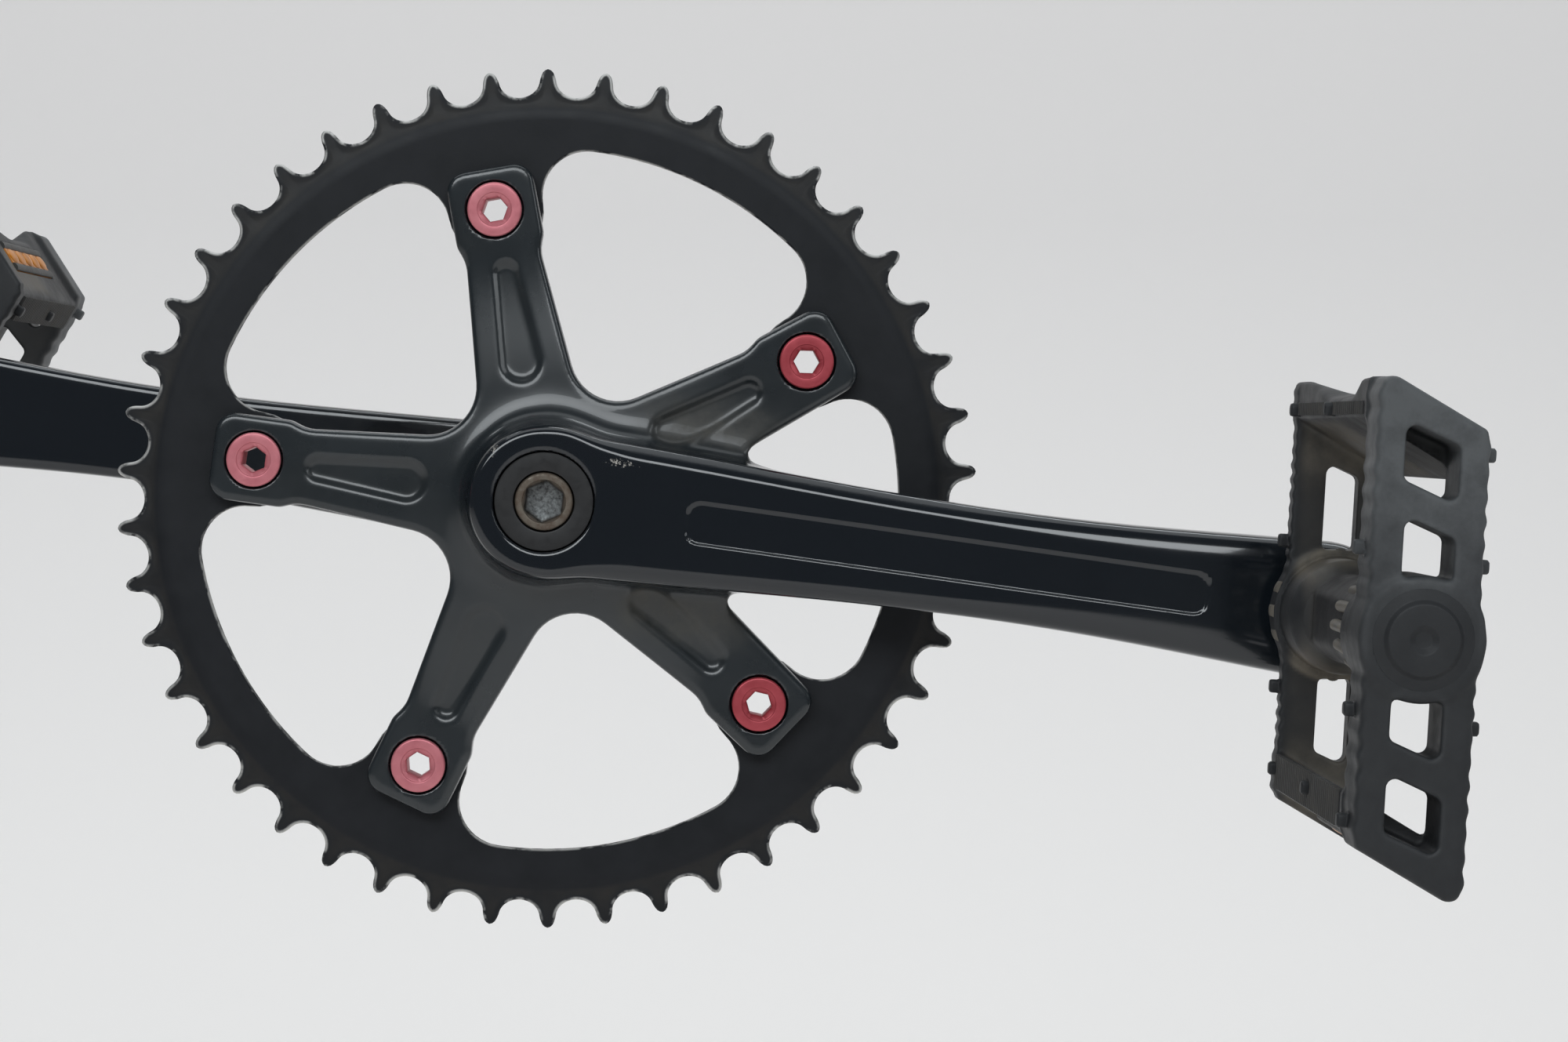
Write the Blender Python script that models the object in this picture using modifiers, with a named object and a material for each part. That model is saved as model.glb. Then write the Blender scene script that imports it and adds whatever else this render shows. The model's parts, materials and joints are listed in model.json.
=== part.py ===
"""Bicycle crankset: cartridge bottom bracket, forged arms, 46-tooth chainring and platform pedals.

Pieces are drawn in millimetres in a bench frame: x to the front of the bicycle, y up, z out to the
chain side. One empty stands that frame upright, so that z becomes world -Y. Crank pieces hang on an
empty on the spindle axis, and each pedal on an empty on its own axle. Turned profiles are lists of
(radius, z) down the outer side.
"""
import math

import bmesh
import bpy
from mathutils import Matrix, Vector

MM = 0.001
TURN = 2.0 * math.pi
# Turn between neighbouring points of a rounded corner
ARC_STEP = math.radians(30.0)

# Gap kept between pieces that touch
GAP = 0.3

# How the crank and pedals stand, as angles about the spindle axis
CRANK_ANGLE = math.radians(-7.6)
RIGHT_PEDAL_ANGLE = math.radians(4.6)
LEFT_PEDAL_ANGLE = math.radians(22.4)

# Bottom bracket, a cartridge for a threaded shell of 68 mm
SHELL_HALF_WIDTH = 34.0
THREAD_RADIUS = 17.35
FLANGE_RADIUS = 21.0
FLANGE_THICKNESS = 2.5
SLEEVE_RADIUS = 16.0
SLEEVE_HALF_LENGTH = 30.0
BEARING_Z = 26.0
BEARING_HALF_WIDTH = 3.5
RACE_OUTER_RADIUS = 15.0
RACE_BORE_RADIUS = 8.8
BALL_RADIUS = 2.0
BALL_PITCH_RADIUS = 11.85
BALL_COUNT = 7
SEAL_BORE_RADIUS = 10.9
SEAL_Z = (30.8, 33.8)
CUP_SKIRT_Z = {"drive": 16.0, "left": 18.0}
# Notches in the cups' mouths for their tool
CUP_NOTCHES = 20
CUP_NOTCH_RADIUS = 12.6
CUP_NOTCH_DEPTH = 2.5

# Spindle with square tapers of 2 degrees a side
SPINDLE_RADIUS = 8.5
SPINDLE_MIDDLE_RADIUS = 9.4
SPINDLE_END_Z = 56.0
TAPER_START_Z = 40.5
TAPER_END_HALF = 6.4
TAPER_SLOPE = math.tan(math.radians(2.0))
SPINDLE_THREAD_RADIUS = 4.3
SPINDLE_THREAD_END = 38.0

# Chainring of 46 teeth for a 12.7 mm chain, on five bolts at 130 mm
CHAINLINE = 43.5
CHAIN_PITCH = 12.7
TEETH = 46
PITCH_RADIUS = CHAIN_PITCH / (2.0 * math.sin(math.pi / TEETH))
SEAT_HALF = 5.15
SEAT_DEPTH = 3.85
TOOTH_TIP_RADIUS = 95.4
TOOTH_TIP_HALF = 0.6
TOOTH_THICKNESS = 2.2
RING_THICKNESS = 3.4
RING_SHOULDER_RADIUS = 86.5
RING_INNER_RADIUS = 78.7
RING_TAB_RADIUS = 10.5
RING_FILLET = 10.0
BOLT_CIRCLE = 65.0
BOLT_ANGLES = [math.radians(36.0 + 72.0 * k) for k in range(5)]
BOLT_HOLE_RADIUS = 5.2
BOLT_HEAD_RADIUS = 6.0
BOLT_HEAD_RISE = 0.6
BOLT_SHANK_RADIUS = 3.9
BOLT_KEY_HALF = 2.5
BOLT_LEAD_IN = (3.75, 4.0)
NUT_SLEEVE = (4.3, 4.9)
NUT_FLANGE = (6.3, 1.3)

# Spider
SPIDER_BACK = CHAINLINE + RING_THICKNESS / 2.0 + GAP
TAB_FRONT = 50.3
HUB_FRONT = 53.2
SPIDER_TOP = 54.0
TAB_HALF = 9.7
TAB_END = 74.3
NECK_HALF = 8.3
NECK_R = 54.5
ROOT_CORNER_R = 19.96
ROOT_FILLET = 10.6
WEB_CORNER = (39.0, 14.6)
WEB_END = (43.5, 10.0)
TAB_SHOULDER = 3.5
TAB_CORNER = 4.5
DISH_START_R = 22.0
POCKET_DEPTH = 1.6
# Half width of a spider arm's pocket at distances from the spindle
POCKET_STATIONS = [(26.3, 2.0), (27.6, 4.0), (30.0, 4.6), (50.8, 2.8), (53.0, 1.2)]
POCKET_FLOOR_SHARE = 0.8
HEAD_SEAT_Z = TAB_FRONT - 1.6

# Crank arm
CRANK_LENGTH = 170.0
BOSS_FRONT = 66.0
BOSS_BACK = 41.0
BOSS_RADIUS = 16.0
EYE_RADIUS = 15.0
EYE_FRONT = 75.0
EYE_BACK = 62.0
EXTRACTOR_RADIUS = 11.0
BOLT_SEAT_Z = 58.5
# Foot of the drive side's boss where it flows into the spider, and its back, as (radius, z)
BOSS_FOOT = [(17.0, 57.5), (18.6, 54.6), (21.5, 52.8), (17.0, 46.5), (14.0, BOSS_BACK)]
LEFT_BOSS_FOOT = [(17.0, 55.0), (16.0, 46.0), (14.0, BOSS_BACK)]
BOSS_TOP = [(0.0, BOSS_FRONT), (BOSS_RADIUS - 1.0, BOSS_FRONT), (BOSS_RADIUS, BOSS_FRONT - 1.0)]
FRONT_CHAMFER = 2.7
FRONT_CHAMFER_DEPTH = 2.2
BACK_CHAMFER = 1.6
# Stations along the arm: distance from the spindle, half width, front z, back z
ARM_STATIONS = [
    (0.0, 15.2, BOSS_FRONT, 47.0),
    (20.0, 15.0, 66.2, 47.0),
    (45.0, 13.7, 67.3, 49.5),
    (70.0, 12.6, 69.3, 55.0),
    (100.0, 12.1, 72.2, 59.0),
    (130.0, 12.7, 74.4, 61.3),
    (155.0, 14.3, EYE_FRONT, EYE_BACK),
    (CRANK_LENGTH, EYE_RADIUS, EYE_FRONT, EYE_BACK),
]
GROOVE_START = 31.0
GROOVE_END = 144.5
GROOVE_HALF = 4.3
GROOVE_DEPTH = 1.2
GROOVE_CORNER = 3.0

# Crank bolt and the ring that draws the arm off
CRANK_BOLT_SUNK = 1.4
CRANK_BOLT_HEAD = 6.3
CRANK_BOLT_FLANGE = (10.0, 1.5)
CRANK_BOLT_SHANK = 4.0
CRANK_BOLT_END = 41.0
CRANK_KEY_HALF = 4.0
CRANK_KEY_DEPTH = 4.5
EXTRACTOR_RING_BORE = 6.6

# Pedal, drawn from the crank arm's outer face: v across, u up, z out along its axle
PEDAL_EYE_RADIUS = 7.3
PEDAL_HALF_THICKNESS = 11.0
PEDAL_TOP = 51.0
PEDAL_SKEW = 11.5
PEDAL_INNER = 7.0
INNER_PLATE = 5.5
OUTER_PLATE = 14.0
PEDAL_OUTER = 106.0
PEDAL_CORNER = 3.0
PEDAL_BOSS_RADIUS = 12.0
INNER_BOSS_RADIUS = 13.5
INNER_BOSS_END = 13.0
BARREL_RADIUS = 9.2
BARREL_Z = (25.0, 31.0, 80.0, 86.0)
BARREL_FLAT = 7.9
BARREL_FLAT_Z = (30.0, 74.0)
BOSS_RISE = (0.4, 0.8)
WALL_DROP = 2.0
WALL_INSET = 0.2
WALL_THICKNESS = 8.0
# The high corner of an end wall, cut down between the plates: across the wall and below its edge
WALL_CORNER = (5.2, 4.5)
REFLECTOR_LENGTH = 52.0
REFLECTOR_WIDTH = 8.6
REFLECTOR_THICKNESS = 2.6
REFLECTOR_SUNK = 1.7
# The left pedal is the right one mirrored across the bicycle
PEDAL_HAND = {"right": 1.0, "left": -1.0}
# Windows of the outer end and of the inner end, drawn for one half; half a turn gives the rest
OUTER_WINDOWS = [[(-5.3, 40.5), (-5.3, 29.6), (5.0, 25.4), (5.0, 36.3)],
                 [(-4.6, 22.8), (-4.6, 10.2), (5.0, 10.2), (5.0, 19.0)]]
INNER_WINDOW = [(-3.9, 32.0), (-3.9, 13.0), (3.0, 13.0), (3.0, 29.2)]
WINDOW_CORNER = 1.6
# Grip pins on the side towards +v, as (u, z)
GRIP_PINS = [(35.0, 99.0), (14.0, 99.0), (-16.5, 99.0), (-15.0, 9.75), (16.0, 9.75), (33.0, 15.0),
             (33.0, 57.0), (-42.6, 15.0), (-42.6, 57.0)]
PIN_WIDTH = 2.8
PIN_HEIGHT = 1.9
# Turned pieces of the pedal
AXLE_PROFILE = [(0.0, 99.5), (3.5, 99.5), (3.5, 82.0), (4.8, 80.0), (4.8, 28.0), (6.0, 26.6), (6.0, 6.2),
                (8.6, 6.2), (8.6, 2.6), (9.2, 2.6), (9.2, GAP), (7.0, GAP), (7.0, -12.0), (0.0, -12.0)]
AXLE_FLAT_HALF = 7.4
AXLE_FLAT_Z = (2.8, 6.0)
AXLE_KEY_HALF = 3.0
AXLE_KEY_Z = (-15.0, -6.0)
PEDAL_BORE = [(0.0, 110.0), (9.0, 110.0), (9.0, 83.7), (5.6, 83.7), (5.6, 28.3), (8.0, 28.3), (8.0, 3.0),
              (0.0, 3.0)]
CONE_PROFILE = [(6.3, 93.0), (6.3, 91.0), (5.7, 90.2), (4.3, 88.7), (4.3, 86.6), (3.8, 86.6), (3.8, 93.0)]
WASHER_PROFILE = [(6.2, 94.3), (6.2, 93.3), (3.8, 93.3), (3.8, 94.3)]
LOCK_NUT_HALF = 5.5
LOCK_NUT_BORE = 3.8
LOCK_NUT_Z = (94.6, 98.4)
BUSH_PROFILE = [(7.7, 26.0), (7.7, 8.0), (6.3, 8.0), (6.3, 26.0)]
OUTER_CUP_PROFILE = [(8.7, 91.5), (8.7, 84.0), (5.2, 84.0), (5.2, 85.9), (6.5, 85.9), (8.0, 87.2),
                     (8.0, 91.5)]
END_CAP_PROFILE = [(0.0, 107.0), (1.6, 107.2), (2.8, 107.9), (6.6, 107.9), (7.4, 106.7), (8.7, 106.5),
                   (8.7, 101.0), (7.4, 101.0), (7.4, 104.6), (0.0, 104.6)]
PEDAL_BALL_Z = 88.0
PEDAL_BALL_RADIUS = 1.45
PEDAL_BALL_PITCH = 6.1
PEDAL_BALL_COUNT = 6

# Finishes: base colour, roughness, metallic
FORGED_BLACK = ((0.010, 0.012, 0.017), 0.22, 0.4)
RING_BLACK = ((0.018, 0.020, 0.024), 0.55, 0.3)
RED_ANODISED = ((0.45, 0.05, 0.075), 0.35, 0.8)
BOLT_STEEL = ((0.30, 0.25, 0.20), 0.45, 0.9)
BRIGHT_STEEL = ((0.55, 0.55, 0.56), 0.28, 1.0)
DARK_STEEL = ((0.10, 0.10, 0.11), 0.40, 0.9)
BLACK_PLASTIC = ((0.022, 0.022, 0.024), 0.60, 0.0)
BLACK_RUBBER = ((0.015, 0.015, 0.015), 0.80, 0.0)
AMBER = ((0.85, 0.28, 0.02), 0.20, 0.0)

for old in list(bpy.data.objects):
    bpy.data.objects.remove(old, do_unlink=True)

PARTS = bpy.data.collections.new("bicycle_crankset")
CUTTERS = bpy.data.collections.new("cutters")
bpy.context.scene.collection.children.link(PARTS)
bpy.context.scene.collection.children.link(CUTTERS)


def empty(name, parent=None, location=(0, 0, 0), rotation=(0, 0, 0)):
    """An axis to hang pieces on."""
    axis = bpy.data.objects.new(name, None)
    PARTS.objects.link(axis)
    axis.parent = parent
    axis.location = Vector(location) * MM
    axis.rotation_euler = rotation
    return axis


def finish(piece, look):
    """Give a piece its own material."""
    colour, roughness, metallic = look
    material = bpy.data.materials.new(piece.name)
    material.use_nodes = True
    shader = material.node_tree.nodes["Principled BSDF"]
    shader.inputs["Base Color"].default_value = (*colour, 1.0)
    shader.inputs["Roughness"].default_value = roughness
    shader.inputs["Metallic"].default_value = metallic
    piece.data.materials.clear()
    piece.data.materials.append(material)


def smooth(piece):
    piece.data.shade_smooth()
    piece.data.set_sharp_from_angle(angle=math.radians(32))


def from_mesh(name, bm, parent):
    mesh = bpy.data.meshes.new(name)
    bm.to_mesh(mesh)
    bm.free()
    piece = bpy.data.objects.new(name, mesh)
    PARTS.objects.link(piece)
    piece.parent = parent
    return piece


def turned(name, profile, parent, segments=16):
    """Turn a profile of (radius, z), listed down its outer side, about local z."""
    bm = bmesh.new()
    points = [bm.verts.new((r * MM, 0.0, z * MM)) for r, z in profile]
    for first, second in zip(points, points[1:]):
        bm.edges.new((first, second))
    if profile[0][0] > 0.0:
        bm.edges.new((points[-1], points[0]))
    piece = from_mesh(name, bm, parent)
    screw = piece.modifiers.new("turn", "SCREW")
    screw.axis = "Z"
    screw.angle = TURN
    screw.steps = segments
    screw.render_steps = segments
    screw.use_merge_vertices = True
    screw.merge_threshold = 0.00001
    return piece


def flat(name, outlines, z_low, z_high, parent):
    """Extrude an outline, with any holes listed after it."""
    curve = bpy.data.curves.new(name, "CURVE")
    curve.dimensions = "2D"
    curve.fill_mode = "BOTH"
    curve.extrude = (z_high - z_low) / 2.0 * MM
    for outline in outlines:
        spline = curve.splines.new("POLY")
        spline.points.add(len(outline) - 1)
        for point, (x, y) in zip(spline.points, outline):
            point.co = (x * MM, y * MM, 0.0, 1.0)
        spline.use_cyclic_u = True
    drawn = bpy.data.objects.new(name + "_outline", curve)
    CUTTERS.objects.link(drawn)
    bpy.context.view_layer.update()
    mesh = bpy.data.meshes.new_from_object(drawn.evaluated_get(bpy.context.evaluated_depsgraph_get()))
    bpy.data.objects.remove(drawn, do_unlink=True)
    bm = bmesh.new()
    bm.from_mesh(mesh)
    bpy.data.meshes.remove(mesh)
    bmesh.ops.remove_doubles(bm, verts=bm.verts, dist=0.000002)
    bmesh.ops.translate(bm, verts=bm.verts, vec=(0.0, 0.0, (z_low + z_high) / 2.0 * MM))
    bmesh.ops.recalc_face_normals(bm, faces=bm.faces)
    return from_mesh(name, bm, parent)


def loft(name, rings, parent):
    """Skin a row of sections with equal numbers of points."""
    bm = bmesh.new()
    loops = [[bm.verts.new(Vector(p) * MM) for p in ring] for ring in rings]
    count = len(rings[0])
    for low, high in zip(loops, loops[1:]):
        for k in range(count):
            n = (k + 1) % count
            bm.faces.new((low[k], low[n], high[n], high[k]))
    bm.faces.new(loops[0])
    bm.faces.new(loops[-1])
    bmesh.ops.recalc_face_normals(bm, faces=bm.faces)
    return from_mesh(name, bm, parent)


def prism(name, sides, radius, z_low, z_high, parent, spin=0.0):
    bm = bmesh.new()
    bmesh.ops.create_cone(bm, cap_ends=True, segments=sides, radius1=radius * MM, radius2=radius * MM,
                          depth=(z_high - z_low) * MM)
    bmesh.ops.rotate(bm, verts=bm.verts, matrix=Matrix.Rotation(spin, 3, "Z"))
    bmesh.ops.translate(bm, verts=bm.verts, vec=(0.0, 0.0, (z_low + z_high) / 2.0 * MM))
    return from_mesh(name, bm, parent)


def hexagon(name, half_flats, z_low, z_high, parent, spin=0.0):
    return prism(name, 6, half_flats / math.cos(math.pi / 6), z_low, z_high, parent, spin)


def block(name, size, parent, centre=(0, 0, 0)):
    bm = bmesh.new()
    bmesh.ops.create_cube(bm, size=1.0)
    bmesh.ops.scale(bm, verts=bm.verts, vec=Vector(size) * MM)
    bmesh.ops.translate(bm, verts=bm.verts, vec=Vector(centre) * MM)
    return from_mesh(name, bm, parent)


def combine(piece, tool, operation):
    """Boolean a tool into a piece, and put the tool away with the cutters."""
    step = piece.modifiers.new(tool.name, "BOOLEAN")
    step.operation = operation
    step.solver = "EXACT"
    step.object = tool
    PARTS.objects.unlink(tool)
    CUTTERS.objects.link(tool)
    tool.hide_render = True
    tool.display_type = "WIRE"


def cut(piece, tool):
    combine(piece, tool, "DIFFERENCE")


def join(piece, tool):
    combine(piece, tool, "UNION")


def arc(centre, radius, start, end, steps):
    """Points on a circle from one angle to another, both included."""
    return [(centre[0] + radius * math.cos(start + (end - start) * k / steps),
             centre[1] + radius * math.sin(start + (end - start) * k / steps)) for k in range(steps + 1)]


def circle(centre, radius, steps):
    return arc(centre, radius, 0.0, TURN, steps)[:-1]


def polar(radius, angle):
    return (radius * math.cos(angle), radius * math.sin(angle))


def turn_point(point, angle):
    x, y = point
    return (x * math.cos(angle) - y * math.sin(angle), x * math.sin(angle) + y * math.cos(angle))


def rounded(corners, step=ARC_STEP):
    """A closed outline through corners of (x, y, radius), each rounded by its radius."""
    outline = []
    for k, (x, y, radius) in enumerate(corners):
        here = Vector((x, y))
        before = (Vector(corners[k - 1][:2]) - here).normalized()
        after = (Vector(corners[(k + 1) % len(corners)][:2]) - here).normalized()
        half = before.angle(after) / 2.0
        middle = (before + after).normalized()
        centre = here + middle * radius / math.sin(half)
        reach = radius / math.tan(half)
        start = (here + before * reach) - centre
        sweep = start.angle_signed((here + after * reach) - centre)
        first = math.atan2(start.y, start.x)
        outline += arc(centre, radius, first, first - sweep, max(1, round(abs(sweep) / step)))
    return outline


def arm_section(x):
    """Half width, front z and back z of a crank arm at a distance from the spindle."""
    for (x0, *low), (x1, *high) in zip(ARM_STATIONS, ARM_STATIONS[1:]):
        if x <= x1:
            t = (x - x0) / (x1 - x0)
            return [a + (b - a) * t for a, b in zip(low, high)]
    return [math.sqrt(max(EYE_RADIUS ** 2 - (x - CRANK_LENGTH) ** 2, 0.0)), EYE_FRONT, EYE_BACK]


def arm_ring(x):
    """Eight-sided section of the arm, with wide front chamfers and small back ones."""
    half, front, back = arm_section(x)
    face = half - min(FRONT_CHAMFER, half * 0.5)
    rear = half - min(BACK_CHAMFER, half * 0.5)
    side = [(face, front), (half, front - FRONT_CHAMFER_DEPTH), (half, back + BACK_CHAMFER), (rear, back)]
    return [(x, y, z) for y, z in side] + [(x, -y, z) for y, z in reversed(side)]


def arm_loft(name, parent):
    stations = [station[0] for station in ARM_STATIONS]
    rounding = [CRANK_LENGTH + EYE_RADIUS * math.sin(math.radians(a)) for a in (22, 44, 63, 78, 88)]
    return loft(name, [arm_ring(x) for x in stations + rounding], parent)


def groove_cutter(name, parent):
    """A long shallow recess that follows the arm's front face."""
    ends = [(0.0, GROOVE_HALF - GROOVE_CORNER), (0.3, GROOVE_HALF - 0.45 * GROOVE_CORNER),
            (1.0, GROOVE_HALF)]
    near = [(GROOVE_START + a * GROOVE_CORNER, half) for a, half in ends]
    far = [(GROOVE_END - a * GROOVE_CORNER, half) for a, half in reversed(ends)]
    middle = [(s[0], GROOVE_HALF) for s in ARM_STATIONS if near[-1][0] < s[0] < far[0][0]]
    rings = []
    for x, half in near + middle + far:
        front = arm_section(x)[1]
        floor = front - GROOVE_DEPTH
        rings.append([(x, half, front + 2.0), (x, half, floor), (x, -half, floor), (x, -half, front + 2.0)])
    return loft(name, rings, parent)


def square_ring(half, z):
    return [(half, half, z), (-half, half, z), (-half, -half, z), (half, -half, z)]


def taper_half(z):
    """Half width of the spindle's square taper."""
    return TAPER_END_HALF + (SPINDLE_END_Z - z) * TAPER_SLOPE


def finish_arm(arm, parent):
    """Cut the bores that both crank arms share."""
    taper = [square_ring(taper_half(z) + GAP, z) for z in (BOSS_BACK - 3.0, BOLT_SEAT_Z + 1.0)]
    cut(arm, loft(arm.name + "_taper", taper, parent))
    mouth = [(0.0, BOSS_FRONT + 4.0), (EXTRACTOR_RADIUS + 1.0, BOSS_FRONT + 4.0),
             (EXTRACTOR_RADIUS + 1.0, BOSS_FRONT), (EXTRACTOR_RADIUS, BOSS_FRONT - 1.0),
             (EXTRACTOR_RADIUS, BOLT_SEAT_Z), (0.0, BOLT_SEAT_Z)]
    cut(arm, turned(arm.name + "_extractor_bore", mouth, parent, 18))
    eye = prism(arm.name + "_pedal_eye", 16, PEDAL_EYE_RADIUS, EYE_BACK - 3.0, EYE_FRONT + 3.0, parent)
    eye.location.x = CRANK_LENGTH * MM
    cut(arm, eye)
    cut(arm, groove_cutter(arm.name + "_groove", parent))
    finish(arm, FORGED_BLACK)


def spider_outline():
    """Five arms with tabs, rounded at the roots, and a web to the crank arm in the first gap."""
    web_x, web_y = WEB_CORNER
    end_x, end_y = WEB_END
    corners = [(end_x, -end_y, 1.0), (end_x, end_y, 1.0), (web_x, web_y, 2.0)]
    near_side = [(NECK_R, -NECK_HALF, 8.0), (NECK_R + TAB_SHOULDER, -TAB_HALF, 5.0),
                 (TAB_END, -TAB_HALF, TAB_CORNER)]
    far_side = [(x, -y, r) for x, y, r in reversed(near_side)]
    for angle in BOLT_ANGLES:
        tab = near_side[2:] if angle == BOLT_ANGLES[0] else near_side
        tab = tab + (far_side[:1] if angle == BOLT_ANGLES[-1] else far_side)
        corners += [(*turn_point((x, y), angle), r) for x, y, r in tab]
        if angle != BOLT_ANGLES[-1]:
            corners.append((*polar(ROOT_CORNER_R, angle + TURN / 10.0), ROOT_FILLET))
    corners.append((web_x, -web_y, 2.0))
    return rounded(corners, math.radians(28.0))


def spider_front(r):
    """Front z of the dished spider at a radius."""
    t = min(max((r - DISH_START_R) / (NECK_R - DISH_START_R), 0.0), 1.0)
    return HUB_FRONT + (TAB_FRONT - HUB_FRONT) * t


def pocket_cutter(name, angle, parent):
    """Tapered pocket along a spider arm, wide at the hub."""
    rings = []
    for r, half in POCKET_STATIONS:
        floor = spider_front(r) - POCKET_DEPTH
        floor_half = half * POCKET_FLOOR_SHARE
        rings.append([(r, half, SPIDER_TOP + 2.0), (r, floor_half, floor), (r, -floor_half, floor),
                      (r, -half, SPIDER_TOP + 2.0)])
    cutter = loft(name, rings, parent)
    cutter.rotation_euler.z = angle
    return cutter


def make_drive_arm(parent):
    """Crank arm and spider, one forging."""
    arm = flat("drive_crank_arm", [spider_outline()], SPIDER_BACK, SPIDER_TOP, parent)
    outside = TAB_END + 10.0
    above = SPIDER_TOP + 6.0
    dish = [(outside, above), (outside, TAB_FRONT), (NECK_R, TAB_FRONT), (DISH_START_R, HUB_FRONT),
            (BOSS_RADIUS - 2.0, HUB_FRONT), (BOSS_RADIUS - 2.0, above)]
    cut(arm, turned("spider_dish", dish, parent, 20))
    for k, angle in enumerate(BOLT_ANGLES):
        cut(arm, pocket_cutter(f"spider_pocket_{k + 1}", angle, parent))
    join(arm, turned("drive_boss", BOSS_TOP + BOSS_FOOT + [(0.0, BOSS_BACK)], parent, 24))
    join(arm, arm_loft("drive_arm_loft", parent))
    finish_arm(arm, parent)
    hole = [(0.0, TAB_FRONT + 3.0), (BOLT_HEAD_RADIUS + 0.5, TAB_FRONT + 3.0),
            (BOLT_HEAD_RADIUS + 0.5, HEAD_SEAT_Z), (BOLT_HOLE_RADIUS, HEAD_SEAT_Z),
            (BOLT_HOLE_RADIUS, SPIDER_BACK - 3.0), (0.0, SPIDER_BACK - 3.0)]
    for k, angle in enumerate(BOLT_ANGLES):
        bore = turned(f"spider_bolt_hole_{k + 1}", hole, parent, 10)
        bore.location = Vector((*polar(BOLT_CIRCLE, angle), 0.0)) * MM
        cut(arm, bore)


def make_left_arm(parent):
    arm = turned("left_crank_arm", BOSS_TOP + LEFT_BOSS_FOOT + [(0.0, BOSS_BACK)], parent, 20)
    join(arm, arm_loft("left_arm_loft", parent))
    finish_arm(arm, parent)


def tooth_outline():
    """Wide round seats on the pitch circle, with narrow teeth between them."""
    outline = []
    pitch_angle = TURN / TEETH
    tip_angle = TOOTH_TIP_HALF / TOOTH_TIP_RADIUS
    leans = [math.radians(a) for a in (-76.0, -30.0, 30.0, 76.0)]
    for k in range(TEETH):
        middle = k * pitch_angle
        seat = [(PITCH_RADIUS - SEAT_DEPTH * math.cos(a), SEAT_HALF * math.sin(a)) for a in leans]
        outline += [turn_point(point, middle) for point in seat]
        tip = middle + pitch_angle / 2.0
        outline += [polar(TOOTH_TIP_RADIUS, tip - tip_angle), polar(TOOTH_TIP_RADIUS, tip + tip_angle)]
    return outline


def ring_window_outline():
    """Inner edge of the chainring: arcs between the bolt tabs, with rounded corners into each tab."""
    reach = RING_INNER_RADIUS - RING_FILLET
    span = RING_FILLET + RING_TAB_RADIUS
    corner = math.acos((reach ** 2 + BOLT_CIRCLE ** 2 - span ** 2) / (2.0 * reach * BOLT_CIRCLE))
    outline = []
    for angle in BOLT_ANGLES:
        bolt = polar(BOLT_CIRCLE, angle)
        before = polar(reach, angle - corner)
        after = polar(reach, angle + corner)
        lean = math.atan2(bolt[1] - before[1], bolt[0] - before[0])
        back = math.atan2(bolt[1] - after[1], bolt[0] - after[0])
        turn_in = (lean - (angle - corner) + math.pi) % TURN - math.pi
        turn_out = ((angle + corner) - back + math.pi) % TURN - math.pi
        inward = (lean + math.pi - angle) % TURN
        outward = (back + math.pi - angle) % TURN
        outline += arc((0.0, 0.0), RING_INNER_RADIUS, angle - TURN / 10.0, angle - corner, 2)[:-1]
        outline += arc(before, RING_FILLET, angle - corner, angle - corner + turn_in, 3)
        outline += arc(bolt, RING_TAB_RADIUS, angle + inward, angle + outward, 4)[1:-1]
        outline += arc(after, RING_FILLET, back, back + turn_out, 3)
        outline += arc((0.0, 0.0), RING_INNER_RADIUS, angle + corner, angle + TURN / 10.0, 2)[1:-1]
    return outline


def make_chainring(parent):
    holes = [circle(polar(BOLT_CIRCLE, angle), BOLT_HOLE_RADIUS, 10) for angle in BOLT_ANGLES]
    body = [circle((0.0, 0.0), RING_SHOULDER_RADIUS, TEETH), ring_window_outline()] + holes
    ring = flat("chainring", body, CHAINLINE - RING_THICKNESS / 2.0, CHAINLINE + RING_THICKNESS / 2.0, parent)
    rim = [tooth_outline(), circle((0.0, 0.0), RING_SHOULDER_RADIUS - 3.5, TEETH)]
    half = TOOTH_THICKNESS / 2.0
    join(ring, flat("chainring_teeth", rim, CHAINLINE - half, CHAINLINE + half, parent))
    finish(ring, RING_BLACK)


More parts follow.
